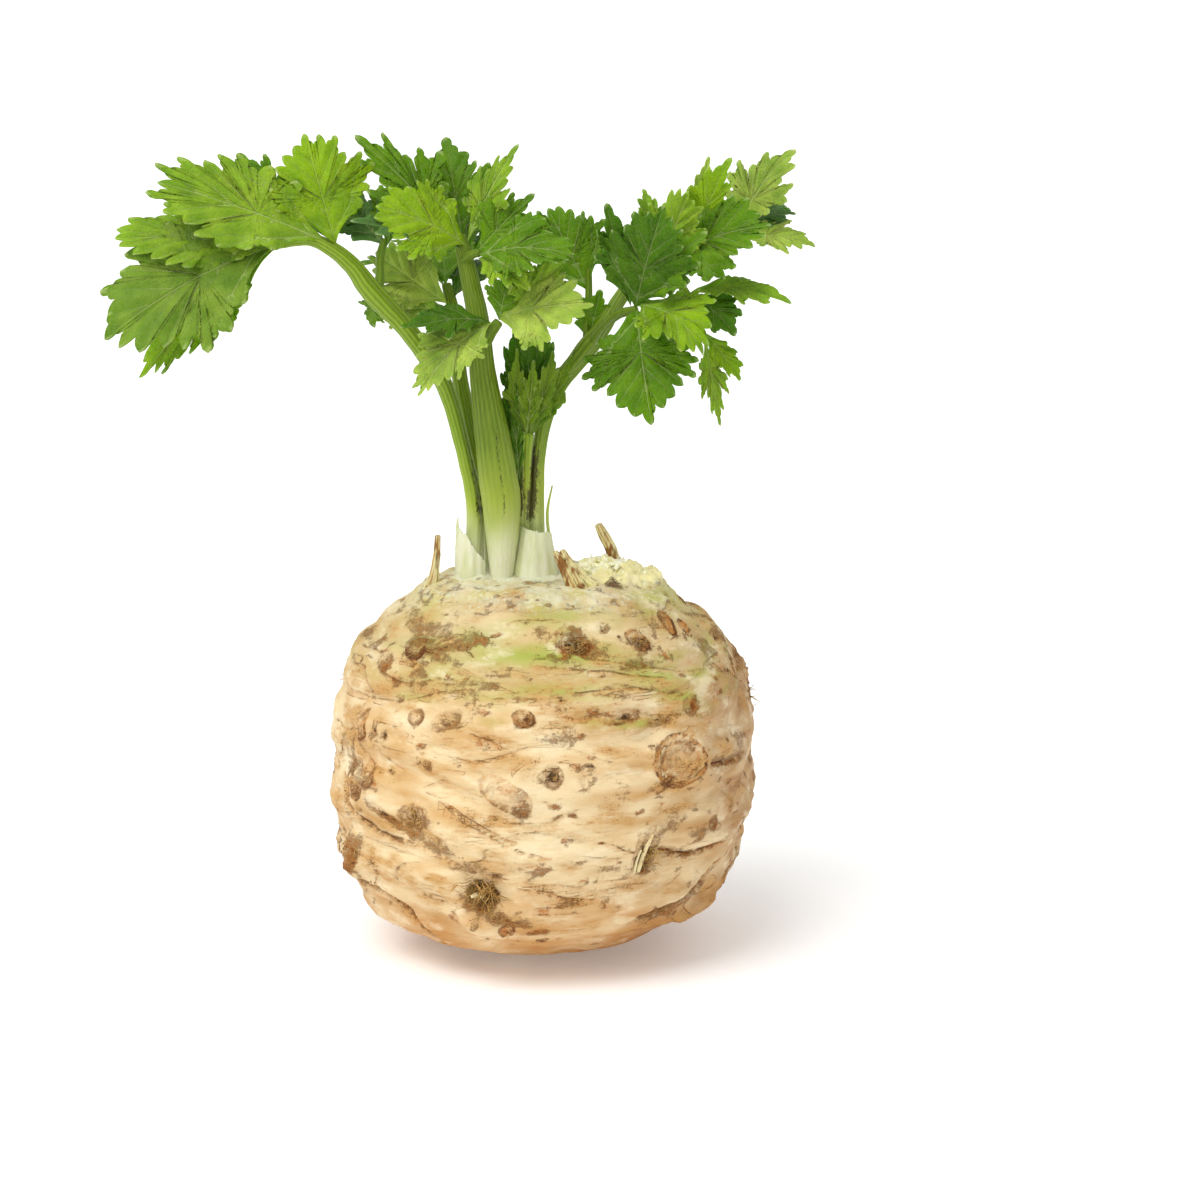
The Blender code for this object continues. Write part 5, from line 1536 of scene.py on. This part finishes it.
def make_sheath(name, sheath, material):
    """A thin upright shell whose torn edge rises and falls."""
    columns, rows = SHEATH_COLUMNS, SHEATH_ROWS
    azimuth, height = np.array(sheath.edge, float).T
    turns = np.linspace(azimuth[0], azimuth[-1], columns)
    level = np.column_stack([turns, turns * 0, turns * 0])
    torn = SHEATH_TORN * lattice(level, TORN_DEGREES, seed=101)
    turn, share = np.meshgrid(np.radians(turns), np.linspace(0, 1, rows))
    rise = share * (np.interp(turns, azimuth, height) + torn)
    ripple = SHEATH_RIPPLE * np.cos(np.degrees(turn) / RIPPLE_DEGREES)
    skins = []
    for wall in (0, sheath.wall):
        thin = wall * (1 - SHEATH_THINNED * share)
        reach = sheath.radius - sheath.lean * rise - thin + ripple
        x, y = sheath.x + reach * np.sin(turn), sheath.y - reach * np.cos(turn)
        z = CROWN_Z - SHEATH_SINK + rise + SHEATH_LIFT * share
        skins.append(np.column_stack([x.ravel(), y.ravel(), z.ravel()]))
    grid = [
        (r * columns + c, r * columns + c + 1, (r + 1) * columns + c + 1, (r + 1) * columns + c)
        for r in range(rows - 1)
        for c in range(columns - 1)
    ]
    spots = np.arange(rows * columns).reshape(rows, columns)
    border = [*spots[0, :-1], *spots[:-1, -1], *spots[-1, :0:-1], *spots[:0:-1, 0]]
    points = np.vstack(skins)
    shaken = [lattice(points, SHEATH_WAVER_CELL, seed) for seed in (103, 104)]
    points[:, :2] += SHEATH_WAVER * np.column_stack(shaken)
    z = points[:, 2]
    streaks = cloud(points, (1.6, 1.6, 14.0), seed=105)
    greened = 0.15 + 0.3 * streaks + 0.25 * step_between(120, 130, z)
    soiled = 0.2 + 0.1 * step_between(118, 114, z)
    layers = {
        "tint": blended(FOOT_WHITE, STALK_PALE, greened),
        "detail": np.column_stack([soiled] * 3),
    }
    faces = walled(grid, [int(spot) for spot in border])
    piece(f"{name}_shell", points, faces, layers, material, name)


ROOTLET_RADIUS, ROOTLET_SIDES, ROOTLET_STEPS = 0.2, 5, 9
THREAD_WANDER, THREAD_HINT, THREAD_TAPER = 0.34, (0.31, 0.52, 0.79), (1.2, 0.35)
ROOTLET_DROOP, FIBRE_DROOP = 0.05, 0.1
SHADE_CELL = 2.5


def thread(start, heading, length, radius, chance, droop):
    """A thin wandering tube's points and faces."""
    centre, way = [start], heading
    for _ in range(ROOTLET_STEPS):
        way = way + THREAD_WANDER * chance.standard_normal(3) + (0, 0, -droop)
        way /= np.linalg.norm(way)
        centre.append(centre[-1] + way * length / ROOTLET_STEPS)
    rings = len(centre)
    reach = radius * np.linspace(*THREAD_TAPER, rings)[:, None]
    turns = np.arange(ROOTLET_SIDES) * 2 * np.pi / ROOTLET_SIDES
    points, _ = swept(np.array(centre), reach, -turns, THREAD_HINT)
    last = (rings - 1) * ROOTLET_SIDES
    ends = [tuple(reversed(range(ROOTLET_SIDES))), tuple(range(last, last + ROOTLET_SIDES))]
    return points, ring_faces(rings, ROOTLET_SIDES) + ends


def on_skin(azimuth, z):
    """Where the finished skin is near an azimuth and a height, and which way it faces."""
    spot, around, up = surface_frame(azimuth, z)
    turn = math.radians(azimuth)
    level = np.array([math.sin(turn), -math.cos(turn), 0])
    outward = np.cross(around, up)
    outward = outward if outward @ level + 0.2 * outward[2] > 0 else -outward
    swell = root_relief(spot[None], np.array([turn]))[0]
    climb = z / CROWN_Z
    wider = root_lobes(np.array([turn]), np.array([z]))[0] * math.hypot(spot[0], spot[1])
    placed = spot + outward * swell + level * wider
    placed[0] += CROWN_SHIFT_X * climb + BELLY_SHIFT_X * math.sin(math.pi * climb)
    return placed, outward, around, up


def threads_piece(name, bits, paler, darker, material):
    """Many small bits as one piece of the root, in colours from paler to darker."""
    faces, count = [], 0
    for found, own in bits:
        faces += [tuple(corner + count for corner in face) for face in own]
        count += len(found)
    points = np.vstack([found for found, _ in bits])
    colour = blended(paler, darker, 0.4 - 0.8 * lattice(points, SHADE_CELL, seed=111))
    layers = {"tint": colour, "detail": np.zeros((count, 3))}
    piece(name, points, faces, layers, material, "celeriac_root")


def make_rootlets(index, pit, material):
    """The dead rootlets of one pit."""
    azimuth, z, radius, many, longest = pit
    chance = np.random.default_rng(200 + index)
    middle, outward, around, up = on_skin(azimuth, z)
    threads = []
    for _ in range(many):
        turn = chance.uniform(0, 2 * np.pi)
        beside = around * math.cos(turn) + up * math.sin(turn)
        swirl = around * -math.sin(turn) + up * math.cos(turn)
        start = middle + beside * radius * chance.uniform(0.3, 1.0)
        start = start - outward * chance.uniform(1.0, 2.0)
        heading = outward * chance.uniform(0.3, 0.9) - beside * chance.uniform(0, 0.6)
        heading = heading + swirl * chance.uniform(-1.0, 1.0)
        length = longest * chance.uniform(0.45, 1.0)
        thickness = ROOTLET_RADIUS * chance.uniform(0.6, 1.4)
        threads.append(thread(start, heading, length, thickness, chance, ROOTLET_DROOP))
    threads_piece(f"rootlets_{index:02d}", threads, TAN, DARK, material)


def crumb(middle, size, chance):
    """A lumpy closed crumb's points and faces."""
    lift = np.linspace(0, np.pi, CRUMB_RINGS + 2)[1:-1]
    turns = np.arange(CRUMB_SIDES) * 2 * np.pi / CRUMB_SIDES
    ball = [
        (math.sin(up) * math.cos(turn), math.sin(up) * math.sin(turn), -math.cos(up))
        for up in lift
        for turn in turns
    ]
    ball = np.array([*ball, (0, 0, -1), (0, 0, 1)])
    spread = size * chance.uniform(0.5, 1.5, 3)
    ball = ball @ np.linalg.qr(chance.standard_normal((3, 3)))[0]
    lumpy = 1 + CRUMB_LUMPS * lattice(ball * 1.3 + chance.uniform(0, 90, 3), 1.0, seed=121)
    return middle + ball * spread * lumpy[:, None], tube_faces(CRUMB_RINGS, CRUMB_SIDES)


def make_shreds(index, tuft, material):
    """Pale crumbs and short fibres where the crown is torn."""
    middle, spread, many, size = tuft
    chance = np.random.default_rng(300 + index)
    bits = []
    for _ in range(many):
        offset = spread * chance.uniform(-1, 1, 3) * (1, 1, TUFT_FLATNESS)
        drop = TUFT_FALL * np.hypot(*offset[:2])
        spot = np.array(middle) + offset - (0, 0, drop)
        bits.append(crumb(spot, size * chance.uniform(0.4, 1.3), chance))
    for _ in range(FIBRES_A_TUFT):
        start = np.array(middle) + spread * chance.uniform(-1, 1, 3) * (1, 1, 0.1) - (0, 0, 1.0)
        heading = chance.uniform(-1, 1, 3) + (0, 0, 1.0)
        bits.append(thread(start, heading, FIBRE_LENGTH, FIBRE_RADIUS, chance, FIBRE_DROOP))
    threads_piece(f"torn_shreds_{index}", bits, TORN_PALE, TORN_YELLOW, material)


def make_stub(stub, make):
    """A pale dead rootlet's stub that stands in a pit."""
    azimuth, z, aside, rise, length, radius = stub
    middle, outward, around, up = on_skin(azimuth, z)
    way = around * aside + up * rise + outward
    way /= np.linalg.norm(way)
    places = ((-1.5, 0.0, 1.1), (0.0, 0.0, 1.0), (0.55 * length, 0.6, 0.85), (length, 0.2, 0.5))
    knots = [
        (*(middle + way * far - outward * bend), radius * share) for far, bend, share in places
    ]
    make(knots=knots, sides=THIN_SIDES, gutter=STUB_GUTTER, colour_of=stub_colours)


FLOOR_HALF = 30.0
FLOOR_CORNERS = ((-1, -1), (1, -1), (1, 1), (-1, 1))
FLOOR_COLOUR = (0.96, 0.955, 0.95)
FLOOR_GLOW = 0.16
WORLD_STRENGTH = 0.72
SUN_TURN, SUN_HEIGHT, SUN_STRENGTH, SUN_WIDTH = -42.0, 55.0, 1.9, 40.0

CAMERA_TARGET = (0.0198, 0.0, 0.1055)
CAMERA_ELEVATION, CAMERA_DISTANCE, CAMERA_LENS = 11.0, 1.1, 110.0


def make_floor():
    """A pale floor that reaches far past the picture's edge."""
    mesh = bpy.data.meshes.new("floor")
    corners = [(x * FLOOR_HALF, y * FLOOR_HALF, 0) for x, y in FLOOR_CORNERS]
    mesh.from_pydata(corners, [], [(0, 1, 2, 3)])
    floor = bpy.data.objects.new("floor", mesh)
    bpy.context.scene.collection.objects.link(floor)
    shader = Shader("pale_floor", Roughness=0.6, Specular_IOR_Level=0.2)
    shader.feed(shader.surface.inputs["Base Color"], FLOOR_COLOUR)
    shader.feed(shader.surface.inputs["Emission Color"], (1.0, 1.0, 1.0))
    shader.feed(shader.surface.inputs["Emission Strength"], FLOOR_GLOW)
    mesh.materials.append(shader.material)


def make_studio():
    """A bright dome and a wide, soft sun from the upper left."""
    scene = bpy.context.scene
    world = bpy.data.worlds.new("studio")
    world.use_nodes = True
    background = world.node_tree.nodes["Background"]
    background.inputs["Color"].default_value = (1, 1, 1, 1)
    background.inputs["Strength"].default_value = WORLD_STRENGTH
    scene.world = world
    scene.view_settings.view_transform = "Standard"
    data = bpy.data.lights.new("soft_sun", "SUN")
    data.energy, data.angle = SUN_STRENGTH, math.radians(SUN_WIDTH)
    sun = bpy.data.objects.new("soft_sun", data)
    turn, height = math.radians(SUN_TURN), math.radians(SUN_HEIGHT)
    level = math.cos(height)
    towards = (math.sin(turn) * level, -math.cos(turn) * level, math.sin(height))
    sun.rotation_mode = "QUATERNION"
    sun.rotation_quaternion = Vector(towards).to_track_quat("Z", "Y")
    scene.collection.objects.link(sun)


def make_camera():
    data = bpy.data.cameras.new("camera")
    data.lens = CAMERA_LENS
    data.clip_start, data.clip_end = 0.01, 50.0
    camera = bpy.data.objects.new("camera", data)
    bpy.context.scene.collection.objects.link(camera)
    lift = math.radians(CAMERA_ELEVATION)
    back = Vector((0.0, -math.cos(lift), math.sin(lift)))
    camera.location = Vector(CAMERA_TARGET) + back * CAMERA_DISTANCE
    camera.rotation_mode = "QUATERNION"
    camera.rotation_quaternion = (-back).to_track_quat("-Z", "Y")
    bpy.context.scene.camera = camera


def make_stems(stalk, leaf):
    """The leafy stems, each with its twigs and leaflets, and the loose young blades."""
    for index, leaflet in enumerate(YOUNG_BLADES):
        chance = np.random.default_rng(400 + index)
        name = f"young_blade_{index}"
        make_blade(name, leaflet, TINTS["dark"], leaf, "leafy_stem_young", chance)
    for node, stem in STEMS.items():
        look, short = STEM_LOOKS[node], node.replace("leafy_stem_", "")
        x, y, z, radius = stem.stalk[0]
        knots = [(x, y, z - FOOT_SINK, radius), *stem.stalk]
        knots = [(x, y, z, radius + look.swell) for x, y, z, radius in knots]
        coloured = functools.partial(stalk_colours, node=node)
        shared = (look.gutter, stalk, node, coloured)
        make_stalk(f"{short}_stalk", knots, STALK_SIDES, *shared)
        for index, knots in enumerate(stem.twigs):
            make_stalk(f"{short}_twig_{index}", knots, TWIG_SIDES, *shared, TWIG_RIBBED)
        tints = look.tints.split()
        for index, (leaflet, tint) in enumerate(zip(stem.leaflets, tints, strict=True)):
            chance = np.random.default_rng([len(node), index, ord(short[0])])
            make_blade(f"{short}_leaflet_{index:02d}", leaflet, TINTS[tint], leaf, node, chance)


def main():
    skin, stalk, leaf = skin_material(), stalk_material(), leaf_material()
    make_root_skin(skin)
    on_root = functools.partial(
        make_stalk, material=stalk, node="celeriac_root", slot="root_skin"
    )
    for index, knots in enumerate(STRANDS):
        name, gutter = f"withered_strand_{index}", STRAND_GUTTERS * index
        on_root(name, knots, TWIG_SIDES, gutter, colour_of=withered_colours, ribbed=STRAND_RIBBED)
    for index, tuft in enumerate(SHREDS):
        make_shreds(index, tuft, stalk)
    for index, stub in enumerate(STUBS):
        make_stub(stub, functools.partial(on_root, f"rootlet_stub_{index}"))
    for index, pit in enumerate(HAIRY_PITS):
        make_rootlets(index, pit, stalk)
    make_stems(stalk, leaf)
    for name, sheath in SHEATHS.items():
        make_sheath(name, sheath, stalk)
        for index, knots in enumerate(sheath.slivers):
            look = (THIN_SIDES, 0, stalk, name, stalk_colours, SLIVER_RIBBED, "sheath")
            make_stalk(f"{name}_sliver_{index}", knots, *look)
    make_floor()
    make_studio()
    make_camera()


main()
